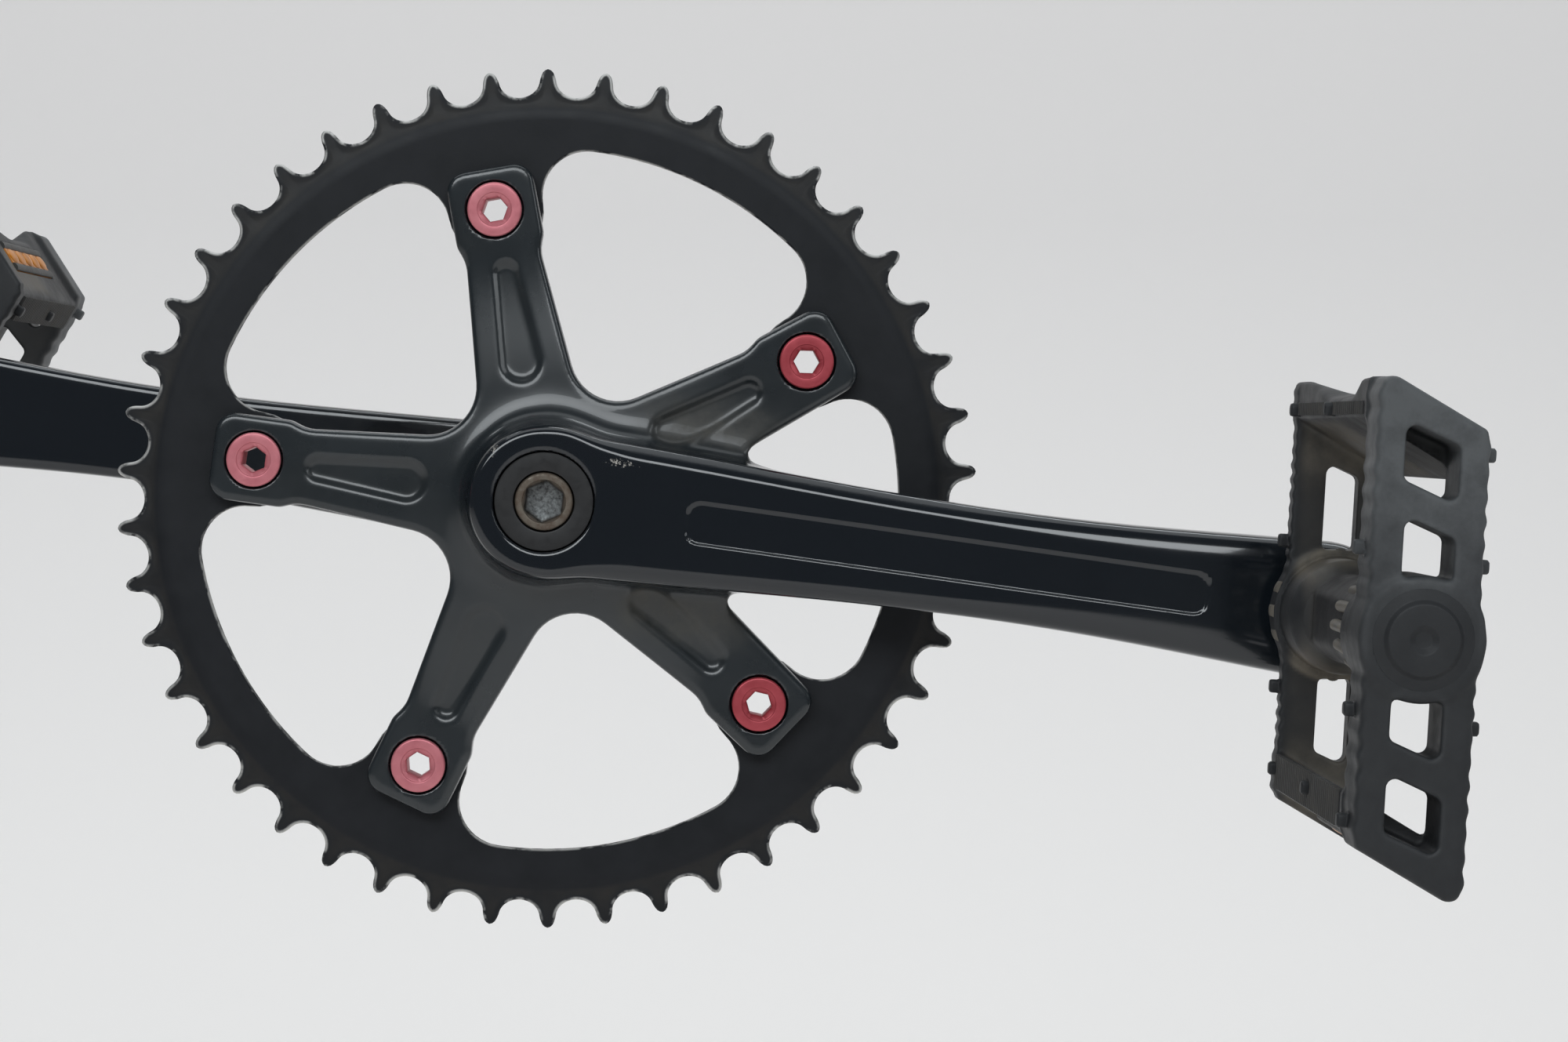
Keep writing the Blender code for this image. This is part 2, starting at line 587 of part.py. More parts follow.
def make_chainring_bolts(parent):
    nut_back = CHAINLINE - RING_THICKNESS / 2.0 - GAP
    head = HEAD_SEAT_Z + GAP
    top = TAB_FRONT + BOLT_HEAD_RISE
    lead_in_radius, lead_in_depth = BOLT_LEAD_IN
    shank_end = nut_back + 0.5
    bolt_profile = [(0.0, top - lead_in_depth), (lead_in_radius, top), (BOLT_HEAD_RADIUS - 0.4, top),
                    (BOLT_HEAD_RADIUS, top - 0.4), (BOLT_HEAD_RADIUS, head), (BOLT_SHANK_RADIUS, head),
                    (BOLT_SHANK_RADIUS, shank_end), (0.0, shank_end)]
    nut_bore, nut_sleeve = NUT_SLEEVE
    flange_radius, flange = NUT_FLANGE
    nut_top = head - 2.0 * GAP
    nut_profile = [(nut_sleeve, nut_top), (nut_sleeve, nut_back), (flange_radius, nut_back),
                   (flange_radius, nut_back - flange), (nut_bore, nut_back - flange), (nut_bore, nut_top)]
    for k, angle in enumerate(BOLT_ANGLES):
        place = Vector((*polar(BOLT_CIRCLE, angle), 0.0)) * MM
        bolt = turned(f"chainring_bolt_{k + 1}", bolt_profile, parent, 10)
        bolt.location = place
        key = hexagon(f"chainring_bolt_key_{k + 1}", BOLT_KEY_HALF, nut_back - 2.0, top + 2.0, parent, angle)
        key.location = place
        cut(bolt, key)
        finish(bolt, RED_ANODISED)
        nut = turned(f"chainring_nut_{k + 1}", nut_profile, parent, 8)
        nut.location = place
        finish(nut, RED_ANODISED)


def make_spindle(parent):
    seat = BEARING_Z - BEARING_HALF_WIDTH - GAP
    side = [(0.0, SPINDLE_END_Z), (SPINDLE_RADIUS, SPINDLE_END_Z), (SPINDLE_RADIUS, seat),
            (SPINDLE_MIDDLE_RADIUS, seat)]
    spindle = turned("spindle", side + [(r, -z) for r, z in reversed(side)], parent, 12)
    ends = [(z, taper_half(z)) for z in (SPINDLE_END_Z + 2.0, TAPER_START_Z)]
    ends.append((TAPER_START_Z - 1.2, SPINDLE_MIDDLE_RADIUS + 1.6))
    rows = ends + [(-z, half) for z, half in reversed(ends)]
    combine(spindle, loft("spindle_squares", [square_ring(half, z) for z, half in rows], parent), "INTERSECT")
    for side_name, sign in (("drive", 1.0), ("left", -1.0)):
        low, high = sorted((sign * SPINDLE_THREAD_END, sign * (SPINDLE_END_Z + 3.0)))
        cut(spindle, prism(f"{side_name}_spindle_thread", 12, SPINDLE_THREAD_RADIUS, low, high, parent))
    finish(spindle, DARK_STEEL)


def make_crank_bolt(side, parent):
    """Hex bolt and the threaded ring that draws the arm off, in the boss of one arm."""
    top = BOSS_FRONT - CRANK_BOLT_SUNK
    seat = BOLT_SEAT_Z + GAP
    flange_radius, flange = CRANK_BOLT_FLANGE
    flange_top = seat + flange
    profile = [(0.0, top), (CRANK_BOLT_HEAD - 0.6, top), (CRANK_BOLT_HEAD, top - 0.6),
               (CRANK_BOLT_HEAD, flange_top), (flange_radius, flange_top), (flange_radius, seat),
               (CRANK_BOLT_SHANK, seat), (CRANK_BOLT_SHANK, CRANK_BOLT_END), (0.0, CRANK_BOLT_END)]
    bolt = turned(f"{side}_crank_bolt", profile, parent, 12)
    cut(bolt, hexagon(f"{side}_crank_bolt_key", CRANK_KEY_HALF, top - CRANK_KEY_DEPTH, top + 2.0, parent))
    finish(bolt, BOLT_STEEL)
    ring = [(EXTRACTOR_RADIUS - GAP, top), (EXTRACTOR_RADIUS - GAP, flange_top + GAP),
            (EXTRACTOR_RING_BORE, flange_top + GAP), (EXTRACTOR_RING_BORE, top)]
    finish(turned(f"{side}_extractor_ring", ring, parent), RING_BLACK)


def groove_profile(shoulder, bottom):
    """Race groove from the outer edge of a bearing to its inner edge, as (radius, z)."""
    half = [(shoulder, BEARING_HALF_WIDTH), (shoulder, 2.3), (bottom, 1.1)]
    return [(r, BEARING_Z + z) for r, z in half] + [(r, BEARING_Z - z) for r, z in reversed(half)]


def make_bearing(side, fixed, spinning, rolling):
    low = BEARING_Z - BEARING_HALF_WIDTH
    high = BEARING_Z + BEARING_HALF_WIDTH
    outer = [(RACE_OUTER_RADIUS, high), (RACE_OUTER_RADIUS, low)]
    outer += list(reversed(groove_profile(BALL_PITCH_RADIUS + 1.0, BALL_PITCH_RADIUS + 2.4)))
    finish(turned(f"bb_{side}_outer_race", outer, fixed, 12), BRIGHT_STEEL)
    inner = groove_profile(BALL_PITCH_RADIUS - 1.0, BALL_PITCH_RADIUS - 2.4)
    inner += [(RACE_BORE_RADIUS, low), (RACE_BORE_RADIUS, high)]
    finish(turned(f"bb_{side}_inner_race", inner, spinning, 12), BRIGHT_STEEL)
    make_ball_ring(f"bb_{side}_ball_cage", rolling, BALL_PITCH_RADIUS, BALL_RADIUS, BALL_COUNT, BEARING_Z)
    seal_back, seal_front = SEAL_Z
    seal = [(SEAL_BORE_RADIUS - GAP, seal_front), (SEAL_BORE_RADIUS - GAP, seal_back),
            (RACE_BORE_RADIUS, seal_back), (RACE_BORE_RADIUS, seal_front)]
    finish(turned(f"bb_{side}_seal", seal, fixed, 12), BLACK_RUBBER)


def make_ball_ring(name, parent, pitch, radius, count, z):
    """Bearing balls held in a retainer ring."""
    wall = radius * 0.28
    half = radius * 0.75
    retainer = [(pitch + wall, z + half), (pitch + wall, z - half), (pitch - wall, z - half),
                (pitch - wall, z + half)]
    ring = turned(name, retainer, parent, 2 * count)
    for k in range(count):
        bm = bmesh.new()
        bmesh.ops.create_uvsphere(bm, u_segments=6, v_segments=3, radius=radius * MM)
        ball = from_mesh(f"{name}_ball_{k + 1}", bm, parent)
        ball.location = Vector((*polar(pitch, TURN * k / count), z)) * MM
        ball.rotation_euler.z = TURN * k / count
        join(ring, ball)
    finish(ring, BRIGHT_STEEL)


def make_bottom_bracket(fixed, left_fixed):
    sleeve = [(SLEEVE_RADIUS, SLEEVE_HALF_LENGTH), (SLEEVE_RADIUS, -SLEEVE_HALF_LENGTH),
              (RACE_OUTER_RADIUS + GAP, -SLEEVE_HALF_LENGTH), (RACE_OUTER_RADIUS + GAP, SLEEVE_HALF_LENGTH)]
    finish(turned("bb_sleeve", sleeve, fixed), DARK_STEEL)
    bore = SLEEVE_RADIUS + GAP
    wall = SLEEVE_HALF_LENGTH + GAP
    face = SHELL_HALF_WIDTH + FLANGE_THICKNESS
    flange = [(FLANGE_RADIUS, face), (FLANGE_RADIUS, SHELL_HALF_WIDTH)]
    sides = (("drive", flange, face, fixed), ("left", [], SHELL_HALF_WIDTH, left_fixed))
    star = []
    for k in range(CUP_NOTCHES):
        star += [polar(SEAL_BORE_RADIUS - GAP, TURN * k / CUP_NOTCHES),
                 polar(CUP_NOTCH_RADIUS, TURN * (k + 0.5) / CUP_NOTCHES)]
    for side, rim, front, parent in sides:
        skirt = CUP_SKIRT_Z[side]
        profile = rim + [(THREAD_RADIUS, SHELL_HALF_WIDTH), (THREAD_RADIUS, skirt), (bore, skirt),
                         (bore, wall), (SEAL_BORE_RADIUS, wall), (SEAL_BORE_RADIUS, front)]
        cup = turned(f"bb_{side}_cup", profile, parent)
        cut(cup, flat(f"bb_{side}_notches", [star], front - CUP_NOTCH_DEPTH, front + 2.0, parent))
        finish(cup, DARK_STEEL)


def pedal_outline(drop=0.0, inset=0.0):
    """Leaning four-sided section of the pedal, the same turned half round about the axle."""
    half = PEDAL_HALF_THICKNESS - inset
    top = PEDAL_TOP - drop
    low = PEDAL_TOP - PEDAL_SKEW - drop
    return [(-half, top), (-half, -low), (half, -top), (half, low)]


def handed(outline, side):
    """An outline of the right pedal, or its mirror image for the left one."""
    if PEDAL_HAND[side] > 0.0:
        return outline
    return [(-v, u) for v, u in reversed(outline)]


def pedal_window(corners):
    return rounded([(v, u, WINDOW_CORNER) for v, u in corners], math.radians(60.0))


def make_barrel(name, parent):
    """Tube round the axle between its bosses, with a flat on both sides that the foot rests on."""
    inner_end, outer_end = PEDAL_INNER - BOSS_RISE[0], PEDAL_OUTER + BOSS_RISE[1]
    swell_end, start, end, swell_start = BARREL_Z
    profile = [(0.0, outer_end), (PEDAL_BOSS_RADIUS, outer_end), (PEDAL_BOSS_RADIUS, swell_start),
               (BARREL_RADIUS, end), (BARREL_RADIUS, start), (PEDAL_BOSS_RADIUS, swell_end),
               (PEDAL_BOSS_RADIUS, INNER_BOSS_END), (INNER_BOSS_RADIUS, INNER_BOSS_END),
               (INNER_BOSS_RADIUS, inner_end), (0.0, inner_end)]
    barrel = turned(f"{name}_barrel", profile, parent, 14)
    low, high = BARREL_FLAT_Z
    for sign in (1.0, -1.0):
        centre = (sign * (BARREL_FLAT + 5.0), 0.0, (low + high) / 2.0)
        cut(barrel, block(f"{name}_barrel_flat_{sign:+.0f}", (10.0, 40.0, high - low), parent, centre))
    return barrel


def add_pins(side, body, parent):
    """Grip pins on both sides of the pedal."""
    root = PEDAL_HALF_THICKNESS - 3.0
    length = PEDAL_HALF_THICKNESS + PIN_HEIGHT - root
    for k, (u, z) in enumerate(GRIP_PINS):
        for face, sign in (("front", 1.0), ("back", -1.0)):
            centre = Vector((sign * PEDAL_HAND[side] * (root + length / 2.0), sign * u, z))
            pin = block(f"{side}_{face}_pin_{k + 1}", (length, PIN_WIDTH, PIN_WIDTH), parent)
            pin.location = centre * MM
            join(body, pin)


def wall_outline():
    """Section of the upper end wall: leaning, with its high corner cut down."""
    top_left, _, _, top_right = pedal_outline(WALL_DROP, WALL_INSET)
    across, below = WALL_CORNER
    slope = (top_right[1] - top_left[1]) / (top_right[0] - top_left[0])
    under = [(v, u - WALL_THICKNESS) for v, u in (top_left, top_right)]
    corner = (top_left[0], top_left[1] - below)
    ridge = (top_left[0] + across, top_left[1] + across * slope)
    return [corner, *under, top_right, ridge]


def make_pedal_body(side, parent):
    corners = [(v, u, PEDAL_CORNER) for v, u in pedal_outline()]
    name = f"{side}_pedal_body"
    plate = handed(rounded(corners), side)
    inner_face = PEDAL_INNER + INNER_PLATE
    body = flat(name, [plate], PEDAL_OUTER - OUTER_PLATE, PEDAL_OUTER, parent)
    join(body, flat(f"{name}_inner_plate", [plate], PEDAL_INNER, inner_face, parent))
    strip = handed(wall_outline(), side)
    for end, turn in (("front", 0.0), ("rear", math.pi)):
        wall = flat(f"{name}_{end}_wall", [strip], PEDAL_INNER + 2.0, PEDAL_OUTER - OUTER_PLATE + 2.0, parent)
        wall.rotation_euler.z = turn
        join(body, wall)
    join(body, make_barrel(name, parent))
    add_pins(side, body, parent)
    windows = [(outline, PEDAL_OUTER - OUTER_PLATE, PEDAL_OUTER) for outline in OUTER_WINDOWS]
    windows.append((INNER_WINDOW, PEDAL_INNER, inner_face))
    for k, (outline, low, high) in enumerate(windows):
        for half, turn in (("upper", 0.0), ("lower", math.pi)):
            tool_name = f"{name}_{half}_window_{k + 1}"
            tool = flat(tool_name, [handed(pedal_window(outline), side)], low - 3.0, high + 3.0, parent)
            tool.rotation_euler.z = turn
            cut(body, tool)
    cut(body, turned(f"{name}_bore", PEDAL_BORE, parent, 12))
    finish(body, BLACK_PLASTIC)
    make_reflectors(side, body, parent)


def make_reflectors(side, body, parent):
    """Amber strips let into the leaning front and rear walls."""
    top_left, _, _, top_right = pedal_outline(WALL_DROP, WALL_INSET)
    lean = PEDAL_HAND[side] * math.atan2(top_right[1] - top_left[1], top_right[0] - top_left[0])
    middle = (0.0, (top_left[1] + top_right[1]) / 2.0)
    centre_z = (PEDAL_INNER + INNER_PLATE + PEDAL_OUTER - OUTER_PLATE) / 2.0
    for end, turn in (("front", 0.0), ("rear", math.pi)):
        place = Vector((*turn_point(middle, turn), centre_z)) * MM
        room = (REFLECTOR_WIDTH + 2 * GAP, 2 * (REFLECTOR_SUNK + GAP), REFLECTOR_LENGTH + 2 * GAP)
        pocket = block(f"{side}_pedal_{end}_pocket", room, parent)
        pocket.location = place
        pocket.rotation_euler.z = lean + turn
        cut(body, pocket)
        size = (REFLECTOR_WIDTH, REFLECTOR_THICKNESS, REFLECTOR_LENGTH)
        strip = block(f"{side}_pedal_{end}_reflector", size, parent,
                      (0.0, REFLECTOR_THICKNESS / 2.0 - REFLECTOR_SUNK, 0.0))
        strip.location = place
        strip.rotation_euler.z = lean + turn
        finish(strip, AMBER)


def make_pedal_axle(side, parent):
    """Axle screwed into the arm, with the cone, washer and nut that set its outer bearing."""
    axle = turned(f"{side}_pedal_axle", AXLE_PROFILE, parent, 10)
    low, high = AXLE_FLAT_Z
    for sign in (1.0, -1.0):
        centre = (sign * (AXLE_FLAT_HALF + 2.0), 0.0, (low + high) / 2.0)
        cut(axle, block(f"{side}_axle_flat_{sign:+.0f}", (4.0, 24.0, high - low), parent, centre))
    cut(axle, hexagon(f"{side}_axle_key", AXLE_KEY_HALF, *AXLE_KEY_Z, parent))
    finish(axle, BRIGHT_STEEL)
    finish(turned(f"{side}_pedal_cone", CONE_PROFILE, parent, 12), BRIGHT_STEEL)
    finish(turned(f"{side}_pedal_lock_washer", WASHER_PROFILE, parent, 12), BRIGHT_STEEL)
    low, high = LOCK_NUT_Z
    nut = hexagon(f"{side}_pedal_lock_nut", LOCK_NUT_HALF, low, high, parent)
    cut(nut, prism(f"{side}_lock_nut_thread", 12, LOCK_NUT_BORE, low - 2.0, high + 2.0, parent))
    finish(nut, BRIGHT_STEEL)


def make_pedal_bearings(side, parent, rolling):
    finish(turned(f"{side}_pedal_inner_bush", BUSH_PROFILE, parent, 12), BRIGHT_STEEL)
    finish(turned(f"{side}_pedal_outer_cup", OUTER_CUP_PROFILE, parent, 12), BRIGHT_STEEL)
    make_ball_ring(f"{side}_pedal_ball_ring", rolling, PEDAL_BALL_PITCH, PEDAL_BALL_RADIUS, PEDAL_BALL_COUNT,
                   PEDAL_BALL_Z)
    finish(turned(f"{side}_pedal_end_cap", END_CAP_PROFILE, parent, 12), BLACK_PLASTIC)


def make_pedal(side, arm_side, angle):
    """A pedal on its axle: axle pieces stay with the arm, the rest turns on it."""
    seat = (CRANK_LENGTH, 0.0, EYE_FRONT)
    axle = empty(f"{side}_pedal_axle_line", arm_side, seat, (0.0, 0.0, angle))
    turning = empty(f"{side}_pedal_turning", axle)
    rolling = empty(f"{side}_pedal_rolling", axle)
    make_pedal_axle(side, axle)
    make_pedal_body(side, turning)
    make_pedal_bearings(side, turning, rolling)


def shade_round_pieces():
    for piece in PARTS.objects:
        if piece.type == "MESH":
            smooth(piece)


def main():
    upright = empty("spindle_line", None, (0, 0, 0), (math.pi / 2.0, 0.0, 0.0))
    left_fixed = empty("bb_left_side", upright, (0, 0, 0), (0.0, math.pi, 0.0))
    crank = empty("crank_turning", upright, (0, 0, 0), (0.0, 0.0, CRANK_ANGLE))
    left_side = empty("crank_left_side", crank, (0, 0, 0), (0.0, math.pi, 0.0))
    drive_balls = empty("bb_drive_rolling", upright)
    left_balls = empty("bb_left_rolling", left_fixed)
    make_bottom_bracket(upright, left_fixed)
    make_bearing("drive", upright, crank, drive_balls)
    make_bearing("left", left_fixed, left_side, left_balls)
    make_spindle(crank)
    make_drive_arm(crank)
    make_left_arm(left_side)
    make_chainring(crank)
    make_chainring_bolts(crank)
    make_crank_bolt("drive", crank)
    make_crank_bolt("left", left_side)
    make_pedal("right", crank, RIGHT_PEDAL_ANGLE)
    make_pedal("left", left_side, LEFT_PEDAL_ANGLE)
    shade_round_pieces()


main()
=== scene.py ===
"""Bicycle crankset, dressed: forged arms, chainring, bottom bracket and platform pedals.

Pieces are drawn in millimetres in the frames of their own axes and put in place by a matrix. The crank
frame has x along the drive arm, y up from it and z out to the chain side. A pedal frame has v across the
pedal, u along its ends and z out along its axle.
"""
import json
import math

import bmesh
import bpy
import numpy as np
from mathutils import Matrix, Vector

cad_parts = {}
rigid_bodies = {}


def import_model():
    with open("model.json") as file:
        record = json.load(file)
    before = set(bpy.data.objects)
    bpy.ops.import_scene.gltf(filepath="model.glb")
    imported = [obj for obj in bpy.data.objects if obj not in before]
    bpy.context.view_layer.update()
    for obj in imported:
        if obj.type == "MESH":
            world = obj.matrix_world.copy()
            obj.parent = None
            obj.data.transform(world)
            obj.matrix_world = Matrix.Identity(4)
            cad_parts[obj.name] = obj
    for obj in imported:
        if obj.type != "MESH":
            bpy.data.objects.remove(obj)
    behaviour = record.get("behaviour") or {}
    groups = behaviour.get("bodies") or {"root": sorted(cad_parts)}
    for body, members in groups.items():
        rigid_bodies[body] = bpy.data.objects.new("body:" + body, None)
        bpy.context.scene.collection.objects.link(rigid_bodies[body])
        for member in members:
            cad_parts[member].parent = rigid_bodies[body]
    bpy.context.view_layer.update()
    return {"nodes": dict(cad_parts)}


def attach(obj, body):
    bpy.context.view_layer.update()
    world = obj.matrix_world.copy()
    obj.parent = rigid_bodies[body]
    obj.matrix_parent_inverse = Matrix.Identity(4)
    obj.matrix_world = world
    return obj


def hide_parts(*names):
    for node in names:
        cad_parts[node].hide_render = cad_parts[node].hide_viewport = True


for old in list(bpy.data.objects):
    bpy.data.objects.remove(old, do_unlink=True)

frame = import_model()

MM = 0.001
TURN = 2.0 * math.pi
# Edges that turn more than this are shaded sharp
SHARP_ANGLE = math.radians(38.0)

# How the crank and pedals stand, as angles about the spindle axis
CRANK_ANGLE = math.radians(-7.6)
RIGHT_PEDAL_ANGLE = math.radians(4.6)
LEFT_PEDAL_ANGLE = math.radians(22.4)

# Crank arm
CRANK_LENGTH = 170.0
BOSS_FRONT = 66.0
BOSS_BACK = 41.0
BOSS_RADIUS = 16.3
EYE_RADIUS = 15.0
EYE_FRONT = 75.0
ARM_BACK = 47.0
EYE_BACK = 62.0
# Half width of the arm at distances from the spindle, joined by a smooth curve
ARM_X = [0.0, 20.0, 40.0, 60.0, 80.0, 100.0, 120.0, 140.0, 158.0, 170.0]
ARM_HALF = [15.4, 14.9, 13.9, 13.0, 12.3, 12.05, 12.35, 13.3, 14.5, 15.0]
# Chamfer of the front edges on the arm and on the boss: width and depth
ARM_CHAMFER = (2.8, 2.2)
BOSS_CHAMFER = (1.1, 1.1)
BACK_ROUND = 2.2
GROOVE_X = (31.0, 144.5)
GROOVE_HALF = 4.6
GROOVE_DEPTH = 0.42
GROOVE_CORNER = 3.2
EXTRACTOR_RADIUS = 11.0
BOLT_SEAT_Z = 58.5
PEDAL_EYE_RADIUS = 7.3

# Spindle taper
SPINDLE_END_Z = 56.0
TAPER_END_HALF = 6.4
TAPER_SLOPE = math.tan(math.radians(2.0))

# Tool notches of the bottom bracket cups
CUP_NOTCHES = 20
CUP_NOTCH_RADIUS = 12.6
CUP_NOTCH_DEPTH = 2.5

# Chainring
CHAINLINE = 43.5
TEETH = 46
PITCH_RADIUS = 12.7 / (2.0 * math.sin(math.pi / TEETH))
TOOTH_TIP_RADIUS = 95.4
SEAT_HALF = 4.55
SEAT_DEPTH = 3.85
SEAT_STEPS = 9
RING_HALF = 1.7
TOOTH_HALF = 1.1
EDGE_EASE = 0.3
PLATE_JOIN = 84.0
RING_SHOULDER = 86.5
RING_INNER_RADIUS = 77.9
RING_TAB_RADIUS = 10.5
RING_FILLET = 10.0
BOLT_CIRCLE = 65.0
BOLT_COUNT = 5
FIRST_BOLT = math.radians(36.0)
BOLT_ANGLES = [FIRST_BOLT + TURN * k / BOLT_COUNT for k in range(BOLT_COUNT)]
BOLT_HOLE_RADIUS = 5.2
BOLT_HEAD_RADIUS = 6.0

# Spider
SPIDER_BACK = 45.5
TAB_FRONT = 50.3
HUB_FRONT = 53.2
HEAD_SEAT_Z = TAB_FRONT - 1.6
TAB_HALF = 9.7
TAB_END = 74.3
NECK_HALF = 8.3
NECK_R = 54.5
ROOT_CORNER_R = 19.96
ROOT_FILLET = 10.6
WEB_CORNER = (39.4, 15.0)

# Pedal, z counted from the crank arm's outer face
PEDAL_HALF = 11.0
PEDAL_TOP = 51.0
PEDAL_LOW = 39.5
INNER_PLATE = (7.0, 12.5)
OUTER_PLATE = (92.0, 106.0)
PEDAL_BOSS_RADIUS = 12.0
INNER_BOSS_RADIUS = 13.5
INNER_BOSS_END = 13.0
BARREL_RADIUS = 9.2
BARREL_Z = (25.0, 31.0, 80.0, 86.0)
BARREL_FLAT = 7.9
BARREL_FLAT_Z = (30.0, 74.0)
WALL_DROP = 2.0
WALL_INSET = 0.2
WALL_THICKNESS = 8.0
# The high corner of an end wall, cut down between the plates: across the wall and below its edge
WALL_CORNER = (5.2, 4.5)
PIN_WIDTH = 2.8
PIN_HEIGHT = 1.9
REFLECTOR_SIZE = (8.6, 2.6, 52.0)
REFLECTOR_SUNK = 1.7
BEZEL_WIDTH = 2.1
BEZEL_HEIGHT = 0.5
LENS_COUNT = 5
LENS_RISE = 0.7
LENS_STEPS = [math.radians(15.0 * k) for k in range(1, 7)]

UPRIGHT = Matrix.Rotation(math.pi / 2.0, 4, "X") @ Matrix.Scale(MM, 4)
BB_LEFT = UPRIGHT @ Matrix.Rotation(math.pi, 4, "Y")
CRANK = UPRIGHT @ Matrix.Rotation(CRANK_ANGLE, 4, "Z")
CRANK_LEFT = CRANK @ Matrix.Rotation(math.pi, 4, "Y")
PEDAL_SEAT = Matrix.Translation((CRANK_LENGTH, 0.0, EYE_FRONT))
RIGHT_PEDAL = CRANK @ PEDAL_SEAT @ Matrix.Rotation(RIGHT_PEDAL_ANGLE, 4, "Z")
LEFT_PEDAL = CRANK_LEFT @ PEDAL_SEAT @ Matrix.Rotation(LEFT_PEDAL_ANGLE, 4, "Z")
# The left pedal's moulding is the right one mirrored across the bicycle
MIRRORED = Matrix.Scale(-1.0, 4, (1.0, 0.0, 0.0))
PEDALS = (("right", RIGHT_PEDAL, Matrix.Identity(4)), ("left", LEFT_PEDAL, MIRRORED))


def smoothstep(t):
    t = np.clip(t, 0.0, 1.0)
    return t * t * (3.0 - 2.0 * t)


# Length over which a rounding swells, to the radius of the round corner that it stands for
SWELL = 1.76


def meet(a, b, radius):
    """Inside both fields, with the edge between them rounded so that its curvature grows from nothing."""
    length = SWELL * radius
    near = np.maximum(1.0 - np.abs(a - b) / length, 0.0)
    return np.maximum(a, b) + length / 6.0 * near ** 3


def blend(a, b, radius):
    """Inside either field, with a fillet between them."""
    return -meet(-a, -b, radius)


def carve(a, b, radius):
    """Inside the first field and outside the second, with a rounded edge."""
    return meet(a, -b, radius)


def arc(centre, radius, start, end, steps):
    return [(centre[0] + radius * math.cos(start + (end - start) * k / steps),
             centre[1] + radius * math.sin(start + (end - start) * k / steps)) for k in range(steps + 1)]


def polar(radius, angle):
    return (radius * math.cos(angle), radius * math.sin(angle))


def turn_point(point, angle):
    x, y = point
    return (x * math.cos(angle) - y * math.sin(angle), x * math.sin(angle) + y * math.cos(angle))


def rounded(corners, step=math.radians(9.0)):
    """A closed outline through corners of (x, y, radius), each rounded by its radius."""
    outline = []
    for k, (x, y, radius) in enumerate(corners):
        if radius == 0.0:
            outline.append((x, y))
            continue
        here = Vector((x, y))
        before = (Vector(corners[k - 1][:2]) - here).normalized()
        after = (Vector(corners[(k + 1) % len(corners)][:2]) - here).normalized()
        half = before.angle(after) / 2.0
        centre = here + (before + after).normalized() * radius / math.sin(half)
        reach = radius / math.tan(half)
        start = (here + before * reach) - centre
        sweep = start.angle_signed((here + after * reach) - centre)
        first = math.atan2(start.y, start.x)
        outline += arc(centre, radius, first, first - sweep, max(2, math.ceil(abs(sweep) / step)))
    return outline


def outline_distance(x, y, outline):
    """Signed distance from points to a closed outline, negative inside."""
    x, y = np.broadcast_arrays(x, y)
    nearest = np.full(x.shape, np.inf)
    inside = np.zeros(x.shape, bool)
    for (ax, ay), (bx, by) in zip(outline, outline[1:] + outline[:1]):
        ex, ey = bx - ax, by - ay
        length = ex * ex + ey * ey
        if length < 1e-12:
            continue
        px, py = x - ax, y - ay
        t = np.clip((px * ex + py * ey) / length, 0.0, 1.0)
        nearest = np.minimum(nearest, (px - t * ex) ** 2 + (py - t * ey) ** 2)
        crosses = (ay > y) != (by > y)
        if ey != 0.0:
            inside ^= crosses & (px < py * ex / ey)
    return np.where(inside, -1.0, 1.0) * np.sqrt(nearest)


def tapered_slot(p, q, start, end, start_radius, end_radius):
    """Signed distance to a slot along p whose round ends have unlike radii."""
    p = p - start
    q = np.abs(q)
    length = end - start
    b = (start_radius - end_radius) / length
    a = math.sqrt(1.0 - b * b)
    along = p * a - q * b
    side = q * a + p * b - start_radius
    near = np.hypot(p, q) - start_radius
    far = np.hypot(p - length, q) - end_radius
    return np.where(along < 0.0, near, np.where(along > a * length, far, side))


CORNERS = [np.array((i, j, k)) for i in (0, 1) for j in (0, 1) for k in (0, 1)]
CELL_EDGES = [(a, b) for a in CORNERS for b in CORNERS if (b - a).min() >= 0 and (b - a).sum() == 1]
GRADIENT_STEP = 0.12
EVENING_ROUNDS = 3


def slope_of(field, points):
    """Value and gradient of a field at loose points."""
    value = field(*points.T)
    slope = np.empty_like(points)
    for axis in range(3):
        moved = points.copy()
        moved[:, axis] += GRADIENT_STEP
        slope[:, axis] = (field(*moved.T) - value) / GRADIENT_STEP
    return value, slope


def grid_lines(start, *stretches):
    """Grid lines from a start through stretches of (end, step)."""
    lines = [np.array([start])]
    for end, step in stretches:
        last = lines[-1][-1]
        lines.append(np.linspace(last, end, math.ceil((end - last) / step) + 1)[1:])
    return np.concatenate(lines)


def settle_points(field, points, reach):
    """Move points on to a field's zero surface and return their normals."""
    offset, slope = slope_of(field, points)
    steepness = (slope ** 2).sum(1)
    move = (offset / np.maximum(steepness, 0.05))[:, None] * slope
    points -= np.clip(move, -reach, reach)
    return slope / np.sqrt(np.maximum(steepness, 1e-9))[:, None]


def even_out(points, quads, normals):
    """Slide points along the surface towards the middle of their neighbours."""
    ends = np.concatenate([quads[:, [k, (k + 1) % 4]] for k in range(4)])
    count = np.bincount(ends[:, 0], minlength=len(points))
    total = [np.bincount(ends[:, 0], points[ends[:, 1], axis], len(points)) for axis in range(3)]
    pull = np.stack(total, 1) / count[:, None] - points
    pull -= (pull * normals).sum(1)[:, None] * normals
    points += 0.5 * pull


